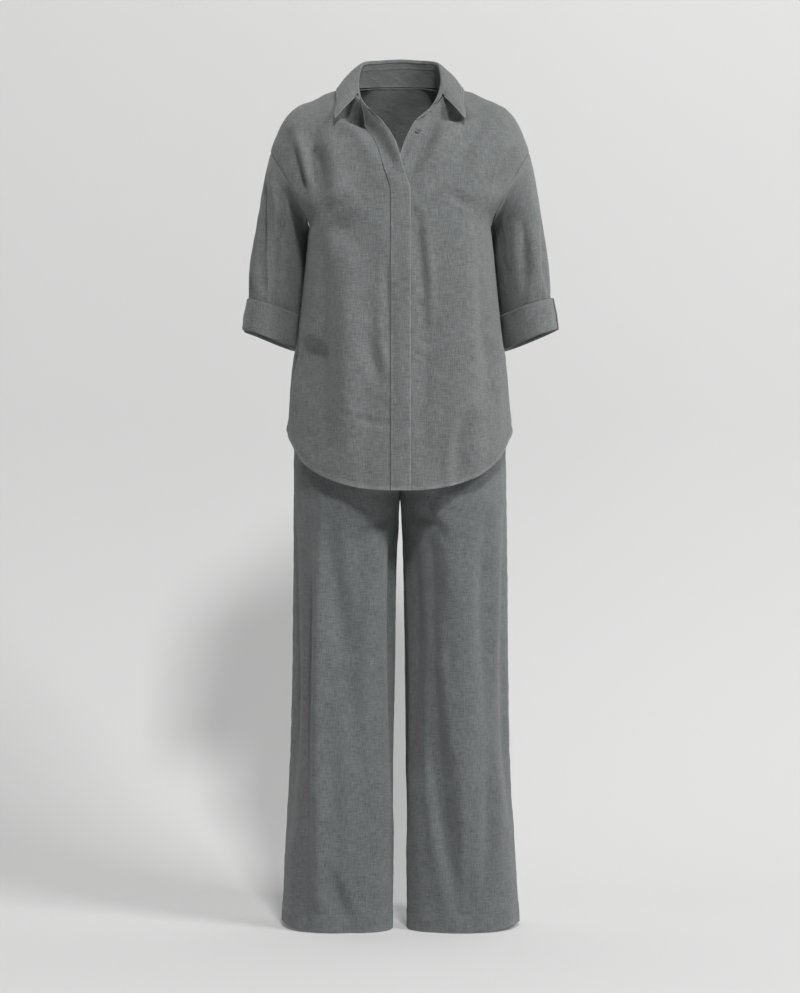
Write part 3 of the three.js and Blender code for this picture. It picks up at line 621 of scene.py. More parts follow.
def hem_steps(stitch):
    """Rows of a grid that has a hem, by their distance from its edge: close together at the stitches."""
    beside = [stitch + off for off in (-1.6, -0.7, 0.0, 0.7, 1.6, 4)]
    return (0.0, 1.0, 0.5 * stitch, *beside)


def seam(sheet, distance, pucker=0.5):
    """Dips a sheet into a seam and puckers it beside the seam."""
    beside = 1 - smoothstep(distance, *PUCKER_REACH)
    waves = pucker * lumps(sheet.points, PUCKER_SIZE, 5.5) * beside * 1.6
    return -SEAM_DIP * np.exp(-((distance / SEAM_WIDTH) ** 2)) + waves


def groove(distance, at, depth=0.5):
    return -depth * np.exp(-(((distance - at) / GROOVE_WIDTH) ** 2))


def hem(sheet, distance, stitch, pucker=1.2):
    """Raises a turned hem, with its stitched groove and small waves."""
    raised = HEM_RAISE * (1 - smoothstep(distance, stitch - 0.5, stitch + 1.5))
    near = 1 - smoothstep(distance, stitch, stitch + HEM_WAVE_REACH)
    waves = pucker * lumps(sheet.points, HEM_WAVE, 2.5) * near
    return raised + waves + groove(distance, stitch)


print("a shirt hem's rows, mm from its edge:", [round(row, 1) for row in hem_steps(8.0)])

# %% Waves of hanging cloth
SHIRT_WAVES = (62.0, 62.0, 330.0)  # millimetres from one to the next along X, Y and Z: long upright folds
TROUSER_WAVES = (58.0, 58.0, 420.0)


def hang(sheet, part, broad=4.6, fine=1.2):
    """The creases, broad waves and small lumps of a hanging piece."""
    points = sheet.points
    down = TROUSER_WAVES if part == "leg" else SHIRT_WAVES
    waves = broad * lumps(points, down, 1.7) + 0.5 * broad * lumps(points, np.multiply(down, 0.45), 4.2)
    small = fine * crumple(points, 34.0, 6.1) + 0.45 * fine * crumple(points, 17.0, 8.4)
    return crease(points, sheet.out, part) + waves + small


# %% [markdown]
# ## Building the mesh
# Each sheet is a single layer of quads. A Solidify modifier gives it its thickness, inwards, so the outer
# face stays where the frame has it. A live modifier is enough, and keeps the layer easy to change. Each point
# also
# carries a number for a painted highlight: how much paler its colour is painted near the edges and seams.

# %% Painted edge highlight
HEM_HIGHLIGHT_WIDE = 6.0  # millimetres from an edge by which most of the painted highlight has faded out
EDGE_HIGHLIGHT_WIDE = 1.7


def painted_edge_highlight(sheet):
    """How far each point's colour is painted paler, a painted highlight: most at the edges and seams, and
    unevenly.
    """
    edges = {"bottom": HEM_HIGHLIGHT_WIDE, "top": EDGE_HIGHLIGHT_WIDE}
    if not sheet.ring:
        edges.update(left=EDGE_HIGHLIGHT_WIDE, right=EDGE_HIGHLIGHT_WIDE)
    edges.pop(sheet.unhighlighted, None)
    most = np.max([np.exp(-((sheet.from_edge(edge) / wide) ** 2)) for edge, wide in edges.items()], axis=0)
    return np.clip(most * (0.7 + 1.2 * lumps(sheet.points, 16.0, 8.8)), 0, 1)


# %% Mesh
LINEN_THICK = 0.9


def build(name, sheet, thick=LINEN_THICK):
    faces, corners = sheet.faces()
    mesh = bpy.data.meshes.new(name)
    mesh.from_pydata(to_metres(sheet.points.reshape(-1, 3)).tolist(), [], faces.tolist())
    layer = mesh.uv_layers.new(name="cloth")
    layer.data.foreach_set("uv", (corners * MM).ravel())
    # each point's share of the painted edge highlight, for the material to read
    mesh.attributes.new("painted_edge_highlight", "FLOAT", "POINT").data.foreach_set("value", painted_edge_highlight(sheet).ravel())
    mesh.shade_smooth()
    mesh.validate()
    piece = bpy.data.objects.new(name, mesh)
    bpy.context.scene.collection.objects.link(piece)
    wall = piece.modifiers.new("wall", "SOLIDIFY")
    wall.thickness = thick * MM
    wall.offset = -1.0
    wall.use_even_offset = False
    area = np.sum([p.area for p in mesh.polygons])
    print(f"{name}: {len(faces)} quads, {area:.4f} m2")
    return piece


# %% [markdown]
# ## The shirt's panels
# Threads run straight up and down a cut panel, whatever the form it is bent to. So a panel's cloth
# coordinates are measured round each ring from the centre front, and up the cloth from the hem.

# %% Shirt panels
SHIRT_STEP = 4.2
SHIRT_HEM = 8.0
STRIP_WIDTH = 34.0
SEAM_GAP = 0.15


def ring_lengths():
    """Tables of the distance along each ring from the centre front, and up the cloth at each angle."""
    angles = np.linspace(0, 180, 721)
    heights = np.linspace(0, NECKLINE, 301)
    grid = body(angles[None, :], heights[:, None])
    return angles, heights, running(grid, axis=1), running(grid, axis=0) + grid[:1, :, 2]


RING_ANGLES, RING_HEIGHTS, RING_ACROSS, RING_UP = ring_lengths()
print("around half the shirt's hem, mm:", round(float(RING_ACROSS[0, -1])))


def look_up(table, angle, t):
    """Reads a table of ring lengths at any angle and height."""
    a = np.interp(np.abs(np.where(angle > 180, 360 - angle, angle)), RING_ANGLES, np.arange(len(RING_ANGLES)))
    b = np.interp(t, RING_HEIGHTS, np.arange(len(RING_HEIGHTS)))
    i = np.minimum(a.astype(int), len(RING_ANGLES) - 2)
    j = np.minimum(b.astype(int), len(RING_HEIGHTS) - 2)
    fa, fb = a - i, b - j
    low = lerp(table[j, i], table[j, i + 1], fa)
    return lerp(low, lerp(table[j + 1, i], table[j + 1, i + 1], fa), fb)


def body_sheet(left, right, across, along, low=0.0, high=NECKLINE):
    """A sheet between two edges given as angles, with its threads straight up and down."""
    angle, t = lay_out(body, left, right, low, high, across, along)
    u = look_up(RING_ACROSS, angle, t)
    half = look_up(RING_ACROSS, 180.0 + 0 * t, t)
    u = np.where(angle > 180, 2 * half - u, np.where(angle < 0, -u, u))
    out = facing(body, angle, t, 0.5, 0.02, 0.0, NECKLINE)
    return Sheet(body(angle, t), u, look_up(RING_UP, angle, t), out)


# %% [markdown]
# A panel runs from the hem to the neck in one grid. Where the armhole cuts into it, its columns bend inwards
# together, so they stay evenly spaced.

# %% Panels
NEAR_FRONT_EDGE = (0.0, 1.0, 2.2, 3.4, 4.6, 6.4)
RIGHT_RISE = 3.4  # the right front rises this much over the button stand and its clearances


def rise_at(points):
    x, z = -points[..., 0], points[..., 2]
    return RIGHT_RISE * (1 - smoothstep(x, 26, 66)) * (1 - smoothstep(z, 1325, 1365))


def front_sheet(side):
    across = spread(NEAR_FRONT_EDGE, NEAR_SEAM, SHIRT_STEP)
    along = spread(hem_steps(SHIRT_HEM), NEAR_SEAM, SHIRT_STEP)
    sheet = body_sheet(front_edge(side), front_end, across, along)
    return sheet if side > 0 else sheet.mirrored()


def pull_back(sheet, **edges):
    """Stops a sheet short of its seams: left=, right=, bottom= or top= in millimetres."""
    p = sheet.points
    ends = {"left": (p[:, 0], p[:, 1]), "right": (p[:, -1], p[:, -2])}
    ends.update(bottom=(p[0], p[1]), top=(p[-1], p[-2]))
    for edge, by in edges.items():
        rim, inner = ends[edge]
        towards = inner - rim
        length = np.linalg.norm(towards, axis=-1, keepdims=True)
        rim += towards * by / np.maximum(length, 1e-6)
    return sheet


print("rise of the right front at its edge, mm:", float(rise_at(np.array([-10.0, -145.0, 1000.0]))))

# %% [markdown]
# ## Fronts and back
# The right front lies over the left. Down its closing edge it has two layers, an under layer with the
# buttonholes and a fly placket over it that hides the buttons. The left front carries a button stand. Beside
# the sleeves and under the arms the cloth is kept calm, so that what meets there stays closed.

# %% Shape of the shirt's body
SLEEVE_ROOM = 0.6  # the most that a panel bulges where a sleeve hangs beside it


def beside_sleeve(sheet, shape):
    """Keeps a panel's bulges off the sleeve that hangs beside it."""
    sideways = smoothstep(np.abs(sheet.out[..., 0]), 0.5, 0.8) * smoothstep(sheet.points[..., 2], 970, 1010)
    return lerp(shape, np.clip(shape, -SLEEVE_ROOM, SLEEVE_ROOM), sideways)


UNDERARM_CALM = (18, 62)  # within these distances of an underarm the cloth lies smooth


def body_shape(sheet):
    x, z = np.abs(sheet.points[..., 0]), sheet.points[..., 2]
    from_underarm = np.hypot(x - BODY_RINGS[UNDERARM, 0], z - BODY_RINGS[UNDERARM, 2])
    return beside_sleeve(sheet, hang(sheet, "body")) * smoothstep(from_underarm, *UNDERARM_CALM)


# Each front sinks under the collar's point and beside it: middle, size and depth of the hollow.
HOLLOWS = {-1: ((-80.0, 1387.0), (17.0, 16.0), 32.0), 1: ((86.0, 1382.0), (22.0, 14.0), 20.0)}


def collar_hollow(sheet, side):
    middle, size, deep = HOLLOWS[side]
    from_middle = (sheet.points[..., (0, 2)] - middle) / size
    in_front = smoothstep(-sheet.points[..., 1], 20, 40) * smoothstep(sheet.from_edge("top"), 2, 16)
    return deep * np.exp(-np.sum(from_middle**2, axis=-1)) * in_front


# %% Fronts and back
FLY_SLOT = 2.6  # depth of the slot that shows where the fly's layers part
FLY_SLOT_IN = 3.8  # its distance from the right front's edge
FLY_SLOT_WIDE = 1.1


def shirt_front(side):
    sheet = front_sheet(side)
    outer, inner = ("right", "left") if side > 0 else ("left", "right")
    side_seam = distance_to(sheet.points, sheet.points[:, -1 if side > 0 else 0])
    tail = sheet.from_edge("bottom")
    shape = body_shape(sheet) + seam(sheet, side_seam) + seam(sheet, sheet.from_edge("top"))
    shape += hem(sheet, tail, SHIRT_HEM) - collar_hollow(sheet, side)
    if side < 0:
        edge, z = sheet.from_edge("right"), sheet.points[..., 2]
        parted = smoothstep(z, 1290, 1330) * (1 - smoothstep(z, 1378, 1392))
        slot = FLY_SLOT * parted * np.exp(-(((edge - FLY_SLOT_IN) / FLY_SLOT_WIDE) ** 2))
        shape += rise_at(sheet.points) - slot
    sheet.push(shape)
    return pull_back(sheet, **{outer: SEAM_GAP, "top": SEAM_GAP})


def shirt_back():
    across = spread(NEAR_SEAM, NEAR_SEAM, SHIRT_STEP)
    along = spread(hem_steps(SHIRT_HEM), NEAR_SEAM, SHIRT_STEP)
    sheet = body_sheet(back_end, lambda t: 360 - back_end(t), across, along)
    sides = [distance_to(sheet.points, sheet.points[:, i]) for i in (0, -1)]
    seams = sum(seam(sheet, distance) for distance in (*sides, sheet.from_edge("top")))
    sheet.push(body_shape(sheet) + seams + hem(sheet, sheet.from_edge("bottom"), SHIRT_HEM))
    return pull_back(sheet, left=SEAM_GAP, right=SEAM_GAP, top=SEAM_GAP)


left_front, right_front, back = shirt_front(1), shirt_front(-1), shirt_back()
print("front and back grids:", left_front.points.shape, back.points.shape)

# %% Strips on the fronts
STRIP_THICK = 0.8
FLY_RISE = 1.5  # a strip's outer face above the cloth that it lies on
FLUSH = 0.35  # and where it is sewn down
FLY_OPEN = (1240, 1372)  # heights between which the fly's two layers part
FLY_GAP = 2.6  # how far the outer layer lifts there
FLY_SET_BACK = 3.4  # and how far its edge draws back from the under layer's
FLY_STITCH = 1.6
STITCHED_BELOW = (1266, 1284)
STRIP_TOP = 14.95  # the ring at which the strips end, just short of the neckline


def strip_sheet(side):
    """The strip down a front's edge, as wide as the fly, on the front's own surface."""
    edge = front_edge(side)

    def inner(t):
        fine = edge(t)[:, None] + np.linspace(0, 40, 241)
        lengths = running(body(fine, np.asarray(t)[:, None] + 0 * fine), axis=1)
        return np.array([np.interp(STRIP_WIDTH, length, row) for length, row in zip(lengths, fine)])

    across = spread((0.0, 0.8, 2.0, 4.0), (4.0, 2.4, 1.2, 0.6, 0.0), 3.4)
    along = spread(hem_steps(SHIRT_HEM), (0.0, 1.0), SHIRT_STEP)
    sheet = body_sheet(edge, inner, across, along, high=STRIP_TOP)
    return sheet if side > 0 else sheet.mirrored()


def button_stand():
    sheet = strip_sheet(1)
    shape = hang(sheet, "body") + hem(sheet, sheet.from_edge("bottom"), SHIRT_HEM)
    sheet.push(shape + lerp(FLUSH, FLY_RISE, smoothstep(sheet.from_edge("right"), 0, 12)))
    return pull_back(sheet, left=0.4, top=3.5)


# %% Fly placket
# Lumps along the fly's edge, between its buttons: height, how far it stands out, half its length.
FLY_LUMPS = [
    (1194, 2.0, 16),
    (1101, 1.6, 9),
    (1052, -1.4, 9),
    (1005, -0.8, 7),
    (912, -1.6, 10),
    (853, -1.4, 9),
]


def fly_placket():
    sheet = strip_sheet(-1)
    z = sheet.points[..., 2]
    from_edge = sheet.from_edge("right")
    from_stitches = sheet.from_edge("left")
    shape = hang(sheet, "body") + hem(sheet, sheet.from_edge("bottom"), SHIRT_HEM) + rise_at(sheet.points)
    sewn_down = lerp(FLUSH, -FLUSH, smoothstep(z, STITCHED_BELOW[1], STITCHED_BELOW[1] + 20))
    rise = lerp(sewn_down, FLY_RISE, smoothstep(from_stitches, 0, 24))
    puff = 1.1 * smoothstep(from_stitches, 0, 24) - 1.9 * (1 - smoothstep(from_edge, 0, 2.6))
    stitches = groove(from_stitches, FLY_STITCH, 0.35) * (1 - smoothstep(z, *STITCHED_BELOW))
    edge = 1 - smoothstep(from_edge, 0, 11)
    parted = smoothstep(z, *FLY_OPEN) * (1 - smoothstep(z, 1385, 1400))
    dimples = sum(h * np.exp(-(((z - at) / w) ** 2)) for at, h, w in FLY_LUMPS) * edge * 0.6
    sheet.push(shape + rise + puff + dimples + FLY_GAP * parted * edge + stitches)
    across = np.gradient(sheet.points, axis=1)
    across /= np.linalg.norm(across, axis=-1, keepdims=True)
    sheet.points = sheet.points - across * (FLY_SET_BACK * parted * edge)[..., None]
    return pull_back(sheet, right=0.4, top=3.5)


stand_strip, placket = button_stand(), fly_placket()
# these edges get no painted highlight
stand_strip.unhighlighted, placket.unhighlighted = "right", "left"
print("strip grids:", stand_strip.points.shape, placket.points.shape)

# %% [markdown]
# ## Collar
# A shirt collar is two pieces. The stand is a band that rises from the neckline, and the leaf is sewn to its
# top edge, rises a little more and falls outwards over it. Both are surfaces drawn between lines: the
# neckline, the roll line where the leaf turns over, and the leaf's outer edge, which lies on the shirt's own
# shoulders. Drawn so, they stay joined when a line is moved.

# %% Collar lines
LEFT_ROLL = [(71, -52, 1412), (71, -28, 1441), (68, 6, 1472), (60, 38, 1487), (34, 60, 1493), (0, 66, 1496)]
RIGHT_ROLL = [(-x, y, z) for x, y, z in LEFT_ROLL[-2::-1]]
ROLL_LINE = np.array(LEFT_ROLL + RIGHT_ROLL, dtype=float)
# The leaf's edge on the body, from its front end to the centre back: angle and ring.
LEAF_EDGE = np.array([[36, 11.35], [56, 12.9], [88, 13.7], [130, 14.2], [180, 14.4]])
LEAF_OFF_BODY = 4.2
LEAF_START = 0.025  # the stand's ends reach this share of its length past the leaf
# Down the leaf from inside its top: share of the way to the edge, how far it stands out and up from there,
# and how far its front ends spring forwards.
LEAF_FALL = np.array([
    [0.0, -1.1, -3.0, 0.0],
    [0.0, -0.9, 1.2, 0.0],
    [0.0, 0.9, 3.2, 0.0],
    [0.05, 3.4, 2.9, 2.0],
    [0.22, 4.4, 3.0, 7.5],
    [0.5, 4.0, 3.2, 13.0],
    [0.78, 2.2, 2.2, 16.0],
    [1.0, 0.0, 0.0, 15.5],
])
LEAF_SPRING = 0.3  # share of the way from an end to the back where that has faded out


def roll_point(u):
    return blend_rows(len(ROLL_LINE), np.asarray(u) * (len(ROLL_LINE) - 1), lambda k: ROLL_LINE[k])


def leaf_edge_point(u):
    side = np.where(u <= 0.5, 1.0, -1.0)
    place = (1 - np.abs(2 * u - 1)) * (len(LEAF_EDGE) - 1)
    angle, t = np.moveaxis(blend_rows(len(LEAF_EDGE), place, lambda k: LEAF_EDGE[k]), -1, 0)
    across = body(angle + 0.5, t) - body(angle - 0.5, t)
    out = np.cross(across, body(angle, t + 0.02) - body(angle, t - 0.02))
    edge = body(angle, t) + LEAF_OFF_BODY * out / np.linalg.norm(out, axis=-1, keepdims=True)
    return np.stack([edge[..., 0] * side, edge[..., 1], edge[..., 2]], axis=-1)


def neck_seam(share):
    """A point of the neckline, from the left front's edge round the back to the right front's."""
    ends = [float(front_edge(side)(np.array([float(NECKLINE)]))[0]) for side in (1, -1)]
    angles = np.linspace(ends[0], 360 - ends[1], 1201)
    points = body(angles, float(NECKLINE) + 0 * angles)
    lengths = running(points)
    return body(np.interp(share * lengths[-1], lengths, angles), NECKLINE + 0 * share)


seam_line = neck_seam(np.linspace(0, 1, 201))
print("neck seam, mm:", round(float(running(seam_line)[-1])))

# %% Stand and leaf as surfaces
def stand_surface(u, share):
    foot, top = neck_seam(u), roll_point(u)
    up = (top - foot) / np.linalg.norm(top - foot, axis=-1, keepdims=True)
    return lerp(foot + up * 0.7, top, share[..., None])


def leaf_surface(u, row):
    """row counts down the table above."""
    share, out, up, lift = np.moveaxis(blend_rows(len(LEAF_FALL), row, lambda k: LEAF_FALL[k]), -1, 0)
    place = lerp(LEAF_START, 1 - LEAF_START, u)
    top, edge = roll_point(place), leaf_edge_point(u)
    ahead = roll_point(place + 0.01) - roll_point(place - 0.01)
    outward = np.stack([ahead[..., 1], -ahead[..., 0], 0 * place], axis=-1)
    outward /= np.linalg.norm(outward, axis=-1, keepdims=True)
    ends = 1 - smoothstep(1 - np.abs(2 * u - 1), 0.0, LEAF_SPRING)
    straight = 1 - 0.85 * ends * smoothstep(share, 0.0, 0.1)
    point = lerp(top, edge, share[..., None]) + outward * (out * straight)[..., None]
    point[..., 2] += up * straight
    point[..., 1] -= lift * ends
    return point


# %% Collar pieces
COLLAR_STEP = 2.4
STAND_THICK = 1.2
LEAF_THICK = 1.3
STAND_CORNER = 9  # radius of the stand's front corners
STAND_STITCH = 13.0
LEAF_STITCH = 4.5


def collar_stand():
    across, along = plain_spread(COLLAR_STEP), plain_spread(2.0)
    u, share = lay_out(stand_surface, whole(0), whole(1), 0.0, 1.0, across, along)
    points = stand_surface(u, share)
    sheet = Sheet(points, running(points, 1), running(points, 0))
    ends = np.minimum(sheet.from_edge("left"), sheet.from_edge("right"))
    rounded = 1 - np.sqrt(np.clip(1 - (1 - np.clip(ends / STAND_CORNER, 0, 1)) ** 2, 0, 1))
    rounded = STAND_CORNER * rounded
    height = sheet.from_edge("bottom")
    total = height[-1:]
    down = np.diff(points[[0, -1]], axis=0)[0] / np.maximum(total[0][:, None], 1e-6)
    sheet.points = points - down[None] * (rounded * (height / total) ** 2)[..., None]
    sheet.push(0.5 * crumple(points, 20.0) - 0.45 * np.exp(-((height - total + STAND_STITCH) ** 2)))
    return sheet


def collar_leaf():
    rows = float(len(LEAF_FALL) - 1)
    across, along = plain_spread(COLLAR_STEP), plain_spread(1.6)
    u, row = lay_out(leaf_surface, whole(0), whole(1), 0.0, rows, across, along)
    points = leaf_surface(u, row)
    sheet = Sheet(points[::-1], running(points, 1)[::-1], -running(points, 0)[::-1])
    near = np.min([sheet.from_edge(edge) for edge in ("left", "right", "bottom")], axis=0)
    uneven = 0.8 * lumps(sheet.points, 26.0) + 0.5 * crumple(sheet.points, 18.0)
    rim = 0.35 * (1 - smoothstep(near, LEAF_STITCH - 1, LEAF_STITCH + 1))
    sheet.push(uneven + groove(near, LEAF_STITCH, 0.4) + rim)
    return sheet


stand, leaf = collar_stand(), collar_leaf()
print("collar grids:", stand.points.shape, leaf.points.shape)

# %% [markdown]
# ## Sleeves
# A sleeve is a tube sewn to the armhole. Each ring is given by its outer and inner points as seen from the
# front and by its depth. The inner side leans back, so that the hanging sleeve tucks in behind the body's
# side. The first ring of all is the armhole itself, which closes the seam whatever the other rings do.

# %% Sleeve rings
# outer X and Z, inner X and Z, half depth, middle in Y, how far back the inner side leans
SLEEVE_RINGS = np.array([
    [229, 1297, 156.2, 1198, 68, 8, 18],
    [236, 1262, 155.6, 1184, 67, 10, 42],
    [242, 1225, 157.0, 1166, 67, 12, 48],
    [248, 1184, 159.6, 1141, 66, 13, 46],
    [253, 1145, 163.6, 1112, 65, 13, 44],
    [257, 1108, 168.0, 1080, 64, 12, 44],
    [259, 1074, 174.0, 1046, 63, 11, 40],
    [263, 1047, 179.5, 1017, 63, 10, 36],
    [266, 1022, 184.0, 989, 63, 9, 32],
], dtype=float)
SLEEVE_POWER = 2.2
SLEEVE_END = len(SLEEVE_RINGS)
AROUND = 16  # places around a sleeve: 0 outside, 4 in front, 8 at the underarm seam, 12 behind


def sleeve_ring(k, place):
    outer_x, outer_z, inner_x, inner_z, depth, middle, lean = np.moveaxis(SLEEVE_RINGS[k], -1, 0)
    angle = 2 * math.pi * place / AROUND
    outward = (1 + signed_power(np.cos(angle), 2 / SLEEVE_POWER)) / 2
    forward = signed_power(np.sin(angle), 2 / SLEEVE_POWER)
    y = middle - depth * forward + lean * (1 - outward) ** 2
    return np.stack([lerp(inner_x, outer_x, outward), y, lerp(inner_z, outer_z, outward)], axis=-1)


sleeve_end = sleeve_ring(np.full(65, SLEEVE_END - 1), np.linspace(0, AROUND, 65))
print("around the sleeve's end, mm:", round(float(running(sleeve_end)[-1])))

# %% The sleeve as a surface
ARMHOLE_TABLE = np.linspace(0, AROUND, 641)


def armhole_points():
    down = np.abs(ARMHOLE_TABLE - AROUND / 2) / (AROUND / 2)
    t = lerp(UNDERARM, ARMHOLE_TOP, (1 - np.cos(math.pi * down)) / 2)
    angle = np.where(ARMHOLE_TABLE < AROUND / 2, front_end(t), back_end(t))
    points = body(angle, t) + np.array([0.86, 0.0, -0.5]) * 2 * SEAM_GAP
    return np.concatenate([points, facing(body, angle, t, 0.5, 0.02, 0.0, NECKLINE)], axis=-1)


ARMHOLE = armhole_points()  # with the directions that the body faces there


def at_armhole(place):
    around = np.mod(place, AROUND)
    both = np.stack([np.interp(around, ARMHOLE_TABLE, column) for column in ARMHOLE.T], axis=-1)
    return both[..., :3], both[..., 3:]


def sleeve_surface(place, at):
    """at: 0 is the armhole, then one for each ring. place runs past 16 and starts again."""
    hole = at_armhole(place)[0]

    def ring(k):
        return np.where((k == 0)[..., None], hole, sleeve_ring(np.maximum(k, 1) - 1, np.mod(place, AROUND)))

    return blend_rows(SLEEVE_END + 1, at, ring)


print("around the armhole, mm:", round(float(running(ARMHOLE[:, :3])[-1])))

# %% Sleeves
SLEEVE_STEP = 3.8
SLEEVE_FREE = (0, 30)  # over this distance from the armhole a sleeve comes to hang by itself
GATHERS = (13.0, 13.0, 70.0)  # size of the small upright folds above the turn-up
GATHERED = (50, 95)  # distances from the sleeve's end between which they fade out


def sleeve_sheet(side):
    half = AROUND / 2

    def surface(place, back):
        return sleeve_surface(place, SLEEVE_END - back)

    along = spread((0.0, 2.0), NEAR_SEAM, SLEEVE_STEP)
    left, right = whole(3 * half), whole(half)
    place, back = lay_out(surface, left, right, 0.0, float(SLEEVE_END), plain_spread(SLEEVE_STEP), along)
    points = surface(place, back)
    across = running(points, 1)
    out = facing(surface, place, back, -0.06, 0.03, 0.0, float(SLEEVE_END))[:, :-1]
    sheet = Sheet(points[:, :-1], across - across[:, -1:] / 2, running(points, 0), out, ring=True)
    hole, facing_out = at_armhole(place[-1:, :-1])
    rim = Sheet(hole, across[-1:], 0 * across[-1:], facing_out, ring=True)
    return (sheet, rim) if side > 0 else (sheet.mirrored(), rim.mirrored())


def sleeve(side):
    """The sleeve's top moves with the body's own creases, so that the armhole stays closed."""
    sheet, rim = sleeve_sheet(side)
    armhole = sheet.from_edge("top")
    free = smoothstep(armhole, *SLEEVE_FREE)
    near_end = 1 - smoothstep(sheet.from_edge("bottom"), *GATHERED)
    shape = hang(sheet, "sleeve", broad=3.0) + 1.1 * lumps(sheet.points, GATHERS, 3.3) * near_end
    inner_side = smoothstep(-sheet.out[..., 0] * side, 0.2, 0.7)
    shape = lerp(shape, np.clip(shape, -SLEEVE_ROOM, SLEEVE_ROOM), inner_side)
    sewn = rim.out * body_shape(rim)[..., None]
    sheet.push(shape * free + seam(sheet, armhole))
    sheet.points = sheet.points + sewn * (1 - free)[..., None]
    return sheet


left_sleeve, right_sleeve = sleeve(1), sleeve(-1)
print("sleeve grid:", left_sleeve.points.shape)

# %% [markdown]
# The sleeve's end is rolled outwards into a deep turn-up. Its section is drawn as the cloth runs: down inside
# against the sleeve, round the fold at the bottom, up outside, and over again at the top edge. Where the roll
# starts and ends round the arm, its two ends overlap, as a real roll's do.

# %% Turn-ups
# How far back from the sleeve's end, in rings, and how far the cloth's middle stands off the sleeve.
TURN_UP = np.array([
    [1.75, 2.4],
    [1.2, 3.2],
    [0.5, 3.8],
    [0.02, 3.4],
    [-0.07, 4.3],
    [-0.02, 5.6],
    [0.3, 6.3],
    [1.1, 5.9],
    [1.9, 4.9],
    [2.03, 4.3],
    [1.98, 3.6],
    [1.8, 3.5],
])
TURN_UP_SLIT = {1: 0.75, -1: 15.0}  # where around each sleeve the roll's ends meet
SLIT_OVERLAP = 0.5


def turn_up(side):
    slit = TURN_UP_SLIT[side]

    def surface(place, row):
        back, out = np.moveaxis(blend_rows(len(TURN_UP), row, lambda k: TURN_UP[k]), -1, 0)
        at = SLEEVE_END - back
        point = sleeve_surface(place, at)
        across = sleeve_surface(place + 0.02, at) - sleeve_surface(place - 0.02, at)
        outward = np.cross(across, sleeve_surface(place, at + 0.02) - sleeve_surface(place, at - 0.02))
        outward /= np.maximum(np.linalg.norm(outward, axis=-1, keepdims=True), 1e-9)
        return point + outward * out[..., None]

    rows = float(len(TURN_UP) - 1)
    left, right = whole(slit + AROUND), whole(slit - SLIT_OVERLAP)
    place, row = lay_out(surface, left, right, 0.0, rows, plain_spread(3.2), plain_spread(1.8))
    points = surface(place, row)
    return Sheet(points, running(points, 1), running(points, 0)), row


def finished_turn_up(side):
    sheet, row = turn_up(side)
    lift = 1.8 * (1 - smoothstep(sheet.from_edge("left"), 0, 40))
    outer = smoothstep(row, 4.5, 5.5) - 0.5 * smoothstep(row, 9.0, 10.0)
    uneven = 1.6 * lumps(sheet.points, (34.0, 34.0, 30.0), 2.1) + 0.9 * crumple(sheet.points, 22.0, 3.0)
    sheet.push(lift + outer * uneven)
    return sheet if side > 0 else sheet.mirrored()


left_turn_up, right_turn_up = finished_turn_up(1), finished_turn_up(-1)
print("turn-up grid:", left_turn_up.points.shape)

# %% [markdown]
# ## Trousers
# Each leg is cut as a front and a back panel that meet at the outseam and the inseam. Above the crotch, the
# two fronts meet at the centre, and so do the two backs. The rings below and above the crotch are blended
# apart, because the inseam ends there. A half ring for each panel keeps the seams where a tailor has them.

# %% Leg rings
# Z, outer X, inner X, front Y, back Y, X of the foremost point, then Y of the inner seam on the front and on
# the back.
LEG_RINGS = np.array([
    [0, 204, 13, -90, 92, 106, -30, -30],  # hem
    [130, 197, 11, -89, 92, 104, -28, -28],  # shin
    [270, 188, 11, -89, 94, 100, -24, -24],  # calf
    [420, 184, 11, -91, 97, 97, -18, -18],  # knee
    [570, 183, 8, -97, 103, 94, -10, -10],  # thigh
    [680, 183, 3.5, -105, 112, 90, 0, 0],  # top of the thigh
    [738, 183, 0, -111, 118, 84, 6, 6],  # crotch
    [775, 183, 0, -115, 121, 66, -72, 84],  # low rise
    [820, 182, 0, -117, 122, 40, -113, 117],  # rise
    [880, 178, 0, -115, 120, 20, -115, 120],  # hip
    [950, 164, 0, -108, 110, 14, -108, 110],  # high hip
    [1008, 142, 0, -101, 101, 10, -101, 101],  # waist
], dtype=float)
LEG_POWER = 2.25
OUTSEAM_Y = 6.0
CROTCH = 6
HEM_LIFT = 9.0  # the hem's outer side hangs this much higher


def leg_ring(k, half, u):
    z, outer, inner, front, back_y, crease_x, in_front, in_back = np.moveaxis(LEG_RINGS[k], -1, 0)
    depth = front if half < 0 else back_y
    inner_y = in_front if half < 0 else in_back
    turn = math.pi / 2 * np.where(u <= 1, u, 2 - u)
    reach = np.cos(turn) ** (2 / LEG_POWER)
    depth_share = np.sin(turn) ** (2 / LEG_POWER)
    lift = np.where((k == 0) & (u <= 1), HEM_LIFT * np.cos(turn) ** 2, 0.0)
    x = lerp(crease_x, np.where(u <= 1, outer, inner), reach)
    y = lerp(np.where(u <= 1, OUTSEAM_Y, inner_y), depth, depth_share)
    return np.stack([x, y, z + lift], axis=-1)


def leg(half):
    def surface(u, t):
        u = np.clip(u, 0, 2)

        def ring(k):
            return leg_ring(np.where(t <= CROTCH, np.minimum(k, CROTCH), np.maximum(k, CROTCH)), half, u)

        point = blend_rows(len(LEG_RINGS), t, ring)
        point[..., 0] = np.maximum(point[..., 0], SEAM_GAP)
        return point

    return surface


front_hem = leg(-1)(np.linspace(0, 2, 99), np.zeros(99))
print("a trouser front's width at the hem, mm:", round(float(running(front_hem)[-1])))

# %% Trouser panels
TROUSER_HEM = 30.0
TROUSER_STEP = 5.0
INSEAM_STITCH = 7.0
NEAR_INSEAM = (0.0, 1.2, 2.6, 4.6, 6.2, 7.0, 7.8, 9.4)


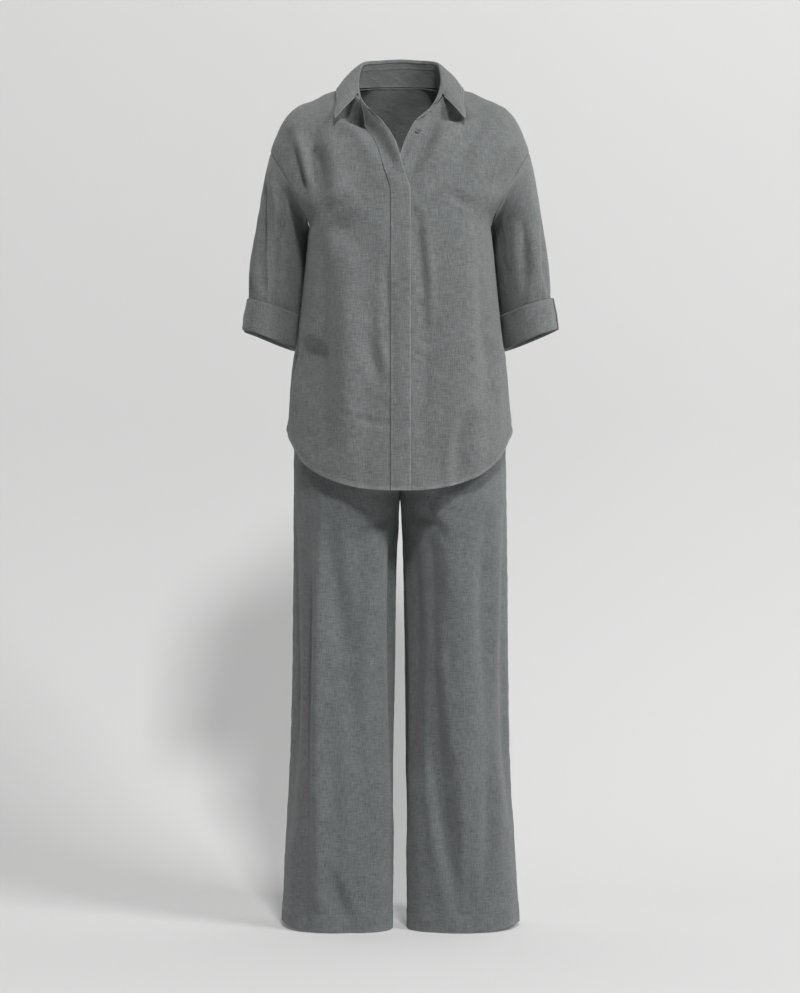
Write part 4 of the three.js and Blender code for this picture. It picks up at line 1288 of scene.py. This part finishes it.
def trouser_panel(side, half):
    """half: -1 is the front panel, 1 the back."""
    ends = (whole(2), whole(0)) if half < 0 else (whole(0), whole(2))
    along = spread(hem_steps(TROUSER_HEM), (0.0, 3.0), TROUSER_STEP)
    surface = leg(half)
    edges = (NEAR_INSEAM, NEAR_SEAM) if half < 0 else (NEAR_SEAM, NEAR_SEAM)
    u, t = lay_out(surface, *ends, 0.0, float(len(LEG_RINGS) - 1), spread(*edges, TROUSER_STEP), along)
    points = surface(u, t)
    across = running(points, 1)
    out = facing(surface, u, t, 0.01 * half, 0.02, 0.0, float(len(LEG_RINGS) - 1))
    sheet = Sheet(points, across - across[:, -1:] / 2, running(points, 0), out)
    sheet = sheet if side > 0 else sheet.mirrored()
    inseam, outseam = ("left", "right") if half * side < 0 else ("right", "left")
    inseam, outseam = sheet.from_edge(inseam), sheet.from_edge(outseam)
    loose = smoothstep(inseam, 0, 26)
    shape = hang(sheet, "leg", broad=5.4, fine=1.3)
    shape = shape * lerp(0.25, 1.0, loose) * lerp(0.5, 1.0, smoothstep(outseam, 0, 30))
    turned = hem(sheet, sheet.from_edge("bottom"), TROUSER_HEM, 0.9)
    shape += seam(sheet, inseam) + seam(sheet, outseam, 0.7) + turned
    if half < 0:
        shape += groove(inseam, INSEAM_STITCH, 0.45)
    sheet.push(shape)
    sheet.points[..., 0] = side * np.maximum(side * sheet.points[..., 0], SEAM_GAP)
    return pull_back(sheet, left=SEAM_GAP, right=SEAM_GAP, top=SEAM_GAP)


panels = {(side, half): trouser_panel(side, half) for side in (1, -1) for half in (-1, 1)}
print("trouser panel grid:", panels[1, -1].points.shape)

# %% Waistband
WAISTBAND_HEIGHT = 36.0


def waistband():
    u = np.linspace(0, 2, 81)
    waist = np.full(u.shape, len(LEG_RINGS) - 1)
    front, behind = leg_ring(waist, -1, u)[::-1], leg_ring(waist, 1, u)
    ring = np.vstack([front, behind[1:]])
    ring = np.vstack([ring, (ring * (-1, 1, 1))[-2:0:-1]])
    heights = np.linspace(2 * SEAM_GAP, WAISTBAND_HEIGHT, 13)
    points = ring[None] + heights[:, None, None] * np.array([0, 0, 1.0])
    across = running(np.concatenate([points, points[:, :1]], axis=1), 1)
    sheet = Sheet(points, across, heights[:, None] + 0 * across, ring=True)
    sheet.push(0.5 * crumple(points, 20.0) + 1.2 * lumps(points, (11.0, 11.0, 60.0)))
    return sheet


band = waistband()
print("waistband grid:", band.points.shape)

# %% [markdown]
# ## Shader maths
# A material is a small program in nodes. They could be placed and wired one by one, which hides the sums that
# they stand for. This class wraps a socket so that plain Python sums add the Math nodes, and one method makes
# any other node from its type, its settings and what goes into it.

# %% Sums on sockets
class Value:
    """A shader socket that Python's operators work on."""

    def __init__(self, finish, socket):
        self.finish, self.socket = finish, socket

    def _math(self, operation, *inputs):
        return self.finish.node("ShaderNodeMath", {"operation": operation}, dict(enumerate(inputs)))

    def __add__(self, other):
        return self._math("ADD", self, other)

    def __mul__(self, other):
        return self._math("MULTIPLY", self, other)

    def __sub__(self, other):
        return self._math("SUBTRACT", self, other)

    def __rsub__(self, other):
        return self._math("SUBTRACT", other, self)

    __radd__ = __add__
    __rmul__ = __mul__

    def sine(self):
        return self._math("SINE", self)

    def clamped(self):
        return self._math("MINIMUM", self._math("MAXIMUM", self, 0.0), 1.0)


# %% Finishes
class Finish:
    """A material made of nodes."""

    def __init__(self, name):
        self.material = bpy.data.materials.new(name)
        self.material.use_nodes = True
        self.tree = self.material.node_tree
        self.shader = self.tree.nodes["Principled BSDF"]

    def node(self, kind, settings=None, inputs=None, output=0):
        made = self.tree.nodes.new(kind)
        for key, value in (settings or {}).items():
            setattr(made, key, value)
        self.feed(made, inputs or {})
        return Value(self, made.outputs[output])

    def feed(self, made, inputs):
        for key, value in inputs.items():
            if isinstance(value, Value):
                self.tree.links.new(value.socket, made.inputs[key])
            else:
                made.inputs[key].default_value = value

    def shade(self, **inputs):
        self.feed(self.shader, {key.replace("_", " "): value for key, value in inputs.items()})

    def mix(self, share, a, b):
        """A colour between two: sockets 0, 6 and 7 are the node's share and its two colours."""
        return self.node("ShaderNodeMix", {"data_type": "RGBA"}, {0: share, 6: a, 7: b}, 2)


# %% [markdown]
# ## Linen
# Linen is a plain weave of uneven threads. Seen close, it is a grid of over and under. From further away it
# is short light and dark streaks both ways, where a thread is thicker, on a colour that is never quite even.
# All of it is read from the piece's own cloth coordinates, in metres, so that the threads run with the cut. A
# picture of cloth would be quicker, but it would repeat, and it would blur up close.

# %% Linen material
THREAD = 0.00062  # metres between threads
EDGE_HIGHLIGHT_COLOR = (0.31, 0.325, 0.32)  # the paler colour that the painted highlight at the edges tends to


def streaks(finish, cloth, along_u, long, thin, detail=1.0):
    """Noise drawn out along one of the cloth's two directions: long and thin in metres."""
    scale = (1 / long, 1 / thin, 1.0) if along_u else (1 / thin, 1 / long, 1.0)
    place = finish.node("ShaderNodeVectorMath", {"operation": "MULTIPLY"}, {0: cloth, 1: scale})
    settings = {"noise_dimensions": "2D"}
    return finish.node("ShaderNodeTexNoise", settings, {"Vector": place, "Scale": 1.0, "Detail": detail}, 0)


def linen(name, color, dark, highlight_most):
    """Linen between a thread's light and dark colour. The last argument says how far the painted highlight
    pales an edge.
    """
    finish = Finish(name)
    cloth = finish.node("ShaderNodeUVMap", {"uv_map": "cloth"})
    u = finish.node("ShaderNodeSeparateXYZ", None, {0: cloth}, 0)
    v = finish.node("ShaderNodeSeparateXYZ", None, {0: cloth}, 1)
    turns = 2 * math.pi / THREAD
    warp, weft = (u * turns).sine(), (v * turns).sine()
    weave = warp * weft
    slubs = streaks(finish, cloth, True, 0.022, 0.0013) + streaks(finish, cloth, False, 0.026, 0.0013) - 1.0
    threads = streaks(finish, cloth, True, 0.009, 0.0006) + streaks(finish, cloth, False, 0.010, 0.0006) - 1.0
    patches = streaks(finish, cloth, True, 0.07, 0.05, 3.0) - 0.5
    washed = streaks(finish, cloth, False, 0.016, 0.012, 4.0) - 0.5
    tone = 0.5 + slubs * 0.75 + threads * 0.9 + patches * 0.3 + washed * 0.15 + weave * 0.05
    shade = finish.mix(tone.clamped(), (*dark, 1.0), (*color, 1.0))
    # near the edges and seams the colour is painted paler: a painted highlight
    highlight_share = finish.node("ShaderNodeAttribute", {"attribute_name": "painted_edge_highlight"}, output=2)
    shade = finish.mix(highlight_share * highlight_most, shade, (*EDGE_HIGHLIGHT_COLOR, 1.0))
    height = weave * 0.25 + threads * 0.9 + slubs * 0.8 + washed * 1.6
    bump = finish.node("ShaderNodeBump", None, {"Strength": 0.55, "Distance": 0.0006, "Height": height})
    finish.shade(Base_Color=shade, Roughness=0.86 + slubs * 0.12, Normal=bump)
    finish.shade(Sheen_Weight=0.25, Sheen_Roughness=0.5, Specular_IOR_Level=0.25)
    return finish.material


# the last number is how far each linen's painted edge highlight goes
shirt_linen = linen("shirt_linen", (0.216, 0.230, 0.227), (0.092, 0.098, 0.097), 0.42)
trouser_linen = linen("trouser_linen", (0.190, 0.204, 0.205), (0.081, 0.087, 0.088), 0.12)
print("materials:", shirt_linen.name, trouser_linen.name)

# %% [markdown]
# ## Putting the pieces together
# Every piece rides on the one rigid body and stands for its plain solid in the frame, which is hidden. Its row
# in the table also gives what it was cut from before it was sewn, though nothing below reads that: rectangles
# that hold each piece laid flat, with the area that is left when its curved edges are cut.

# %% Each piece's material, its body, and its hidden solid
def declare(piece, node, material):
    piece.data.materials.append(material)
    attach(piece, "root")
    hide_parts(node)


def put_together(pieces, material):
    for node, (sheet, thick, flat, area, hangs_from) in pieces.items():
        declare(build(node + "_cloth", sheet, thick), node, material)


# %% Cloth pieces
# sheet, thickness, width and length of the cut in metres, its area in square metres, what it hangs from
SHIRT_PIECES = {
    "shirt_front_left": (left_front, LINEN_THICK, (0.33, 0.80), 0.178, "shirt_back"),
    "shirt_front_right": (right_front, LINEN_THICK, (0.33, 0.80), 0.180, "shirt_back"),
    "shirt_button_stand": (stand_strip, STRIP_THICK, (0.040, 0.70), 0.025, "shirt_front_left"),
    "shirt_fly_placket": (placket, STRIP_THICK, (0.041, 0.75), 0.0265, "shirt_front_right"),
    "shirt_back": (back, LINEN_THICK, (0.63, 0.82), 0.353, "shirt_front_left"),
    "shirt_collar_stand": (stand, STAND_THICK, (0.49, 0.065), 0.013, "shirt_back"),
    "shirt_collar_leaf": (leaf, LEAF_THICK, (0.547, 0.088), 0.0264, "shirt_collar_stand"),
    "shirt_sleeve_left": (left_sleeve, LINEN_THICK, (0.437, 0.308), 0.101, "shirt_back"),
    "shirt_sleeve_right": (right_sleeve, LINEN_THICK, (0.437, 0.308), 0.101, "shirt_back"),
    "shirt_turn_up_left": (left_turn_up, LINEN_THICK, (0.405, 0.12), 0.045, "shirt_sleeve_left"),
    "shirt_turn_up_right": (right_turn_up, LINEN_THICK, (0.405, 0.12), 0.045, "shirt_sleeve_right"),
}
TROUSER_PIECES = {
    "trouser_front_left": (panels[1, -1], LINEN_THICK, (0.333, 1.077), 0.285, "trouser_waistband"),
    "trouser_front_right": (panels[-1, -1], LINEN_THICK, (0.333, 1.077), 0.285, "trouser_waistband"),
    "trouser_back_left": (panels[1, 1], LINEN_THICK, (0.33, 1.072), 0.304, "trouser_waistband"),
    "trouser_back_right": (panels[-1, 1], LINEN_THICK, (0.33, 1.072), 0.304, "trouser_waistband"),
    "trouser_waistband": (band, LINEN_THICK, (0.793, 0.036), 0.0283, "trouser_front_left"),
}

put_together(SHIRT_PIECES, shirt_linen)
put_together(TROUSER_PIECES, trouser_linen)

# %% [markdown]
# ## Stitches
# A machine's stitch shows as a short thread that dips into the cloth at both ends. Stitches could be drawn by
# the material, but then an edge seen from the side would be smooth. So one is modelled from a sphere, drawn
# out, with few faces because there are thousands, and a line of them follows each sewn edge. All those of the
# shirt are joined in one mesh, and all those of the trousers in another.

# %% One stitch
STITCH_LONG = 2.3
STITCH_PITCH = 3.0
THREAD_WIDE = 0.6
THREAD_OUT = 0.1  # how far a stitch's middle stands off the cloth


def model_stitch():
    bpy.ops.object.select_all(action="DESELECT")
    bpy.ops.mesh.primitive_uv_sphere_add(segments=6, ring_count=4, radius=0.5)
    made = bpy.context.object
    bpy.ops.object.mode_set(mode="EDIT")
    bpy.ops.mesh.select_all(action="SELECT")
    bpy.ops.transform.rotate(value=math.pi / 2, orient_axis="Y", center_override=(0.0, 0.0, 0.0))
    bpy.ops.transform.resize(value=(STITCH_LONG, THREAD_WIDE, THREAD_WIDE), center_override=(0.0, 0.0, 0.0))
    bpy.ops.object.mode_set(mode="OBJECT")
    points = np.array([vertex.co[:] for vertex in made.data.vertices])
    faces = sorted(tuple(face.vertices) for face in made.data.polygons)  # a new sphere lists them in any order
    bpy.data.meshes.remove(made.data)
    return points, faces


STITCH_POINTS, STITCH_FACES = model_stitch()
print("one stitch:", len(STITCH_FACES), "faces")

# %% Lines of stitches
def along(line, places):
    lengths = running(line[0])
    return [np.stack([np.interp(places, lengths, column) for column in v.T], axis=-1) for v in line]


def stitches_on(line):
    """The points of all the stitches along a line of points and the directions that they face."""
    total = running(line[0])[-1]
    count = max(int(total / STITCH_PITCH), 1)
    places = (np.arange(count) + 0.5) * total / count
    spots, up = along(line, places)
    ahead = unit(along(line, places + 1.0)[0] - along(line, places - 1.0)[0])
    beside = unit(np.cross(up, ahead))
    axes = np.stack([ahead, beside, np.cross(ahead, beside)], axis=1)
    return spots[:, None] + np.einsum("vi,nij->nvj", STITCH_POINTS, axes) + THREAD_OUT * axes[:, 2:]


def sew(name, lines, material):
    points = np.concatenate([stitches_on(line) for line in lines])
    per = len(STITCH_POINTS)
    faces = [tuple(v + k * per for v in face) for k in range(len(points)) for face in STITCH_FACES]
    mesh = bpy.data.meshes.new(name)
    mesh.from_pydata(to_metres(points.reshape(-1, 3)).tolist(), [], faces)
    mesh.shade_smooth()
    mesh.materials.append(material)
    piece = bpy.data.objects.new(name, mesh)
    bpy.context.scene.collection.objects.link(piece)
    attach(piece, "root")
    print(f"{name}: {len(points)} stitches")


def only(line, keep):
    return [v[keep] for v in line]


def between(line, low, high):
    """The part of a line between two heights."""
    z = line[0][:, 2]
    return only(line, (z > low) & (z < high))


# %% Thread
def thread(name, color):
    """A twisted thread: fine light and dark across it."""
    finish = Finish(name)
    place = finish.node("ShaderNodeTexCoord", output="Object")
    twist = finish.node("ShaderNodeTexNoise", None, {"Vector": place, "Scale": 900.0, "Detail": 1.0})
    light, dark = ([c * k for c in color] + [1.0] for k in (1.25, 0.75))
    bump = finish.node("ShaderNodeBump", None, {"Strength": 0.4, "Distance": 0.0002, "Height": twist})
    finish.shade(Base_Color=finish.mix(twist, dark, light), Roughness=0.7, Normal=bump)
    return finish.material


# %% Shirt stitching
ARMHOLE_STITCH = 2.6
ARMHOLE_SEWN = (1214, 1322)  # heights between which the stitches round the armholes show


def armhole_line(sheet, edge):
    line = sheet.line(edge, ARMHOLE_STITCH)
    return between(only(line, np.abs(line[0][:, 0]) > BODY_RINGS[UNDERARM, 0]), *ARMHOLE_SEWN)


def stand_line():
    """Stitches on the stand's inner face."""
    points, out = stand.line("top", STAND_STITCH)
    return points - STAND_THICK * out, -out


hemmed = (left_front, right_front, back, stand_strip, placket)
shirt_lines = [sheet.line("bottom", SHIRT_HEM) for sheet in hemmed]
shirt_lines += [leaf.line(edge, LEAF_STITCH) for edge in ("left", "bottom", "right")]
shirt_lines += [armhole_line(left_front, "right"), armhole_line(right_front, "left")]
shirt_lines += [armhole_line(back, "left"), armhole_line(back, "right"), stand_line()]
shirt_lines += [between(placket.line("left", FLY_STITCH), 0, STITCHED_BELOW[1])]
shirt_thread = thread("shirt_thread", (0.15, 0.157, 0.155))
sew("shirt_stitching", shirt_lines, shirt_thread)

# %% Trouser stitching
CROTCH_HEIGHT = LEG_RINGS[CROTCH, 0]
trouser_lines = [panel.line("bottom", TROUSER_HEM) for panel in panels.values()]
for side, edge in ((1, "left"), (-1, "right")):
    trouser_lines += [between(panels[side, -1].line(edge, INSEAM_STITCH), TROUSER_HEM, CROTCH_HEIGHT - 8)]
trouser_thread = thread("trouser_thread", (0.14, 0.147, 0.147))
sew("trouser_stitching", trouser_lines, trouser_thread)

# %% [markdown]
# ## Buttons
# A shirt button is turned from a disc: a rim, a shallow dish inside it, and four holes. The same steps make
# it here: a disc, an inset top pushed down, a bevel, and four cylinders that cut the holes. One is modelled,
# at a size of one unit to the millimetre so that the small cuts stay exact, and each place gets a copy of its
# mesh. Only the top one shows. The other six lie under the fly.

# %% Tools for a small turned piece
BUTTON_ROUND = 5.2
BUTTON_THICK = 1.8
RIM_WIDE = 0.9
DISH_DEEP = 0.45
HOLE_ROUND = 0.72
HOLE_OFF = 1.2
SOFT_EDGE = 0.3


def select_faces(obj, chosen):
    bpy.ops.object.mode_set(mode="EDIT")
    bpy.ops.mesh.select_mode(type="FACE")
    bpy.ops.mesh.select_all(action="DESELECT")
    bpy.ops.object.mode_set(mode="OBJECT")
    for face in obj.data.polygons:
        face.select = chosen(face)
    bpy.ops.object.mode_set(mode="EDIT")


def add_cylinder(radius, depth, sides, x=0.0, y=0.0):
    """A cylinder standing on the level of a button's base, with its place in its mesh."""
    bpy.ops.object.select_all(action="DESELECT")
    place = (x, y, BUTTON_THICK / 2)
    bpy.ops.mesh.primitive_cylinder_add(vertices=sides, radius=radius, depth=depth, location=place)
    bpy.ops.object.transform_apply()
    return bpy.context.object


# %% One button
def model_button():
    button = add_cylinder(BUTTON_ROUND, BUTTON_THICK, 40)
    select_faces(button, lambda face: face.normal.z > 0.9)
    bpy.ops.mesh.inset(thickness=RIM_WIDE)
    bpy.ops.mesh.inset(thickness=DISH_DEEP)
    bpy.ops.transform.translate(value=(0.0, 0.0, -DISH_DEEP))
    bpy.ops.object.mode_set(mode="OBJECT")
    soft = button.modifiers.new("soft edges", "BEVEL")
    soft.width = SOFT_EDGE
    soft.segments = 3
    bpy.ops.object.modifier_apply(modifier=soft.name)
    offsets = (-HOLE_OFF, HOLE_OFF)
    holes = [add_cylinder(HOLE_ROUND, 3 * BUTTON_THICK, 12, x, y) for x in offsets for y in offsets]
    for hole in holes:
        hole.select_set(True)
    bpy.ops.object.join()
    cutter = bpy.context.object
    bpy.ops.object.select_all(action="DESELECT")
    bpy.context.view_layer.objects.active = button
    cut = button.modifiers.new("holes", "BOOLEAN")
    cut.object = cutter
    bpy.ops.object.modifier_apply(modifier=cut.name)
    button.select_set(True)
    bpy.ops.object.shade_smooth_by_angle(angle=math.radians(35))
    bpy.data.meshes.remove(cutter.data)
    return button


button_model = model_button()
print("one button:", len(button_model.data.polygons), "faces")

# %% Button finish
def resin():
    """Dark resin with the slow grey swirl of shell."""
    finish = Finish("button_resin")
    place = finish.node("ShaderNodeTexCoord", output="Object")
    noise = {"Vector": place, "Scale": 260.0, "Detail": 3.0, "Distortion": 2.5}
    swirl = finish.node("ShaderNodeTexNoise", None, noise)
    bump = finish.node("ShaderNodeBump", None, {"Strength": 0.1, "Distance": 0.0002, "Height": swirl})
    shade = finish.mix(swirl, (0.06, 0.07, 0.078, 1.0), (0.17, 0.195, 0.21, 1.0))
    finish.shade(Base_Color=shade, Normal=bump)
    finish.shade(Roughness=0.28 + swirl * 0.12, Coat_Weight=0.2)
    return finish.material


button_finish = resin()
print("button finish:", button_finish.name)

# %% Buttons in their places
BUTTON_OFF = 0.25  # clear of the cloth under it


def nearest(sheet, point):
    """The place on a sheet nearest to a point, and the direction that it faces."""
    flat = sheet.points.reshape(-1, 3)
    k = np.argmin(np.linalg.norm(flat - point, axis=1))
    return flat[k], sheet.out.reshape(-1, 3)[k]


def place_button(node, sheet):
    corners = np.array([list(corner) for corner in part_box(node)])
    middle = corners.mean(axis=0) / MM + (0.0, 0.0, NECK_HEIGHT)
    spot, out = nearest(sheet, middle)
    side = unit(np.cross((0.0, 0.0, 1.0), out))
    turn = np.eye(4)
    turn[:3, :3] = np.stack([side, np.cross(out, side), out], axis=1) * MM
    turn[:3, 3] = to_metres(middle + out * (np.dot(spot - middle, out) + BUTTON_OFF))
    mesh = button_model.data.copy()
    mesh.transform(Matrix(turn.tolist()))
    mesh.materials.clear()
    mesh.materials.append(button_finish)
    piece = bpy.data.objects.new(node + "_resin", mesh)
    bpy.context.scene.collection.objects.link(piece)
    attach(piece, "root")
    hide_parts(node)
    return piece


buttons = [place_button("shirt_open_button", stand_strip)]
buttons += [place_button(f"shirt_fly_button_{i}", right_front) for i in range(1, 7)]
bpy.data.meshes.remove(button_model.data)
print("buttons:", len(buttons))

# %% [markdown]
# ## Room and light
# A sheet of pale paper lies under the set and sweeps up into a wall close behind it, so the long soft shadow
# of one big lamp falls on both. The lamp stands far off, to the right and above, which keeps the folds'
# shadows even from collar to hem. A weaker one in front fills the neck. From behind the paper is clear, or it
# would hide the set.

# %% Floor
FLOOR = -NECK_HEIGHT * MM
WALL_START = 0.25  # metres behind the set's middle where the paper starts to rise
WALL_BEND = 0.9
PAPER_WIDE = 16.0
PAPER_FRONT = -6.0
PAPER_TOP = 6.0


def pale_paper():
    finish = Finish("pale_paper")
    place = finish.node("ShaderNodeTexCoord", output="Object")
    grain = finish.node("ShaderNodeTexNoise", None, {"Vector": place, "Scale": 0.8, "Detail": 2.0})
    shade = finish.mix(grain, (0.555, 0.555, 0.552, 1.0), (0.595, 0.595, 0.592, 1.0))
    finish.shade(Base_Color=shade, Roughness=0.95)
    finish.shade(Emission_Color=(1.0, 1.0, 1.0, 1.0), Emission_Strength=0.12)
    behind = finish.node("ShaderNodeNewGeometry", output="Backfacing")
    clear = finish.node("ShaderNodeBsdfTransparent")
    sheet = Value(finish, finish.shader.outputs[0])
    both = finish.node("ShaderNodeMixShader", None, {0: behind, 1: sheet, 2: clear})
    finish.feed(finish.tree.nodes["Material Output"], {"Surface": both})
    return finish.material


def sweep():
    """A floor that curves up into a wall behind the set."""
    turns = [math.radians(a) for a in range(0, 91, 6)]
    line = [(WALL_START + WALL_BEND * math.sin(a), WALL_BEND * (1 - math.cos(a))) for a in turns]
    line = [(PAPER_FRONT, 0.0), *line, (WALL_START + WALL_BEND, PAPER_TOP)]
    vertices = [(x, y, FLOOR + z) for x in (-PAPER_WIDE / 2, PAPER_WIDE / 2) for y, z in line]
    count = len(line)
    faces = [(j, j + count, j + count + 1, j + 1) for j in range(count - 1)]
    mesh = bpy.data.meshes.new("floor")
    mesh.from_pydata(vertices, [], faces)
    mesh.shade_smooth()
    mesh.materials.append(pale_paper())
    floor = bpy.data.objects.new("floor", mesh)
    bpy.context.scene.collection.objects.link(floor)
    print(f"floor: {len(faces)} faces")


sweep()

# %% Lamps
MIDDLE = (0.0, 0.0, -0.6)


def lamp(name, around, above, away, size, power):
    """A square soft lamp aimed at the set's middle: degrees right of the camera and above the level."""
    turn, rise = math.radians(around), math.radians(above)
    out = np.array([math.sin(turn) * math.cos(rise), -math.cos(turn) * math.cos(rise), math.sin(rise)])
    data = bpy.data.lights.new(name, "AREA")
    data.size = size
    data.energy = power
    light = bpy.data.objects.new(name, data)
    light.location = MIDDLE + away * out
    light.rotation_euler = (math.pi / 2 - rise, 0.0, turn)
    bpy.context.scene.collection.objects.link(light)
    print(f"{name} lamp at", [round(v, 1) for v in light.location])


lamp("key", 56, 36, 9.0, 2.2, 385.0)
lamp("front", 10, 44, 7.0, 0.9, 300.0)

# %% Room
ROOM_LIGHT = 0.12
ROOM_SEEN = 0.62


def add_room():
    """A dim room, which looks as pale as the paper where the paper is clear."""
    world = bpy.data.worlds.new("room")
    world.use_nodes = True
    nodes, links = world.node_tree.nodes, world.node_tree.links
    seen = nodes.new("ShaderNodeLightPath")
    strength = nodes.new("ShaderNodeMapRange")
    strength.inputs["To Min"].default_value = ROOM_LIGHT
    strength.inputs["To Max"].default_value = ROOM_SEEN
    links.new(seen.outputs["Is Camera Ray"], strength.inputs["Value"])
    links.new(strength.outputs["Result"], nodes["Background"].inputs["Strength"])
    nodes["Background"].inputs["Color"].default_value = (1.0, 1.0, 1.0, 1.0)
    bpy.context.scene.world = world


add_room()
bpy.context.scene.view_settings.view_transform = "Standard"
print("room light:", ROOM_LIGHT, "and as seen:", ROOM_SEEN)
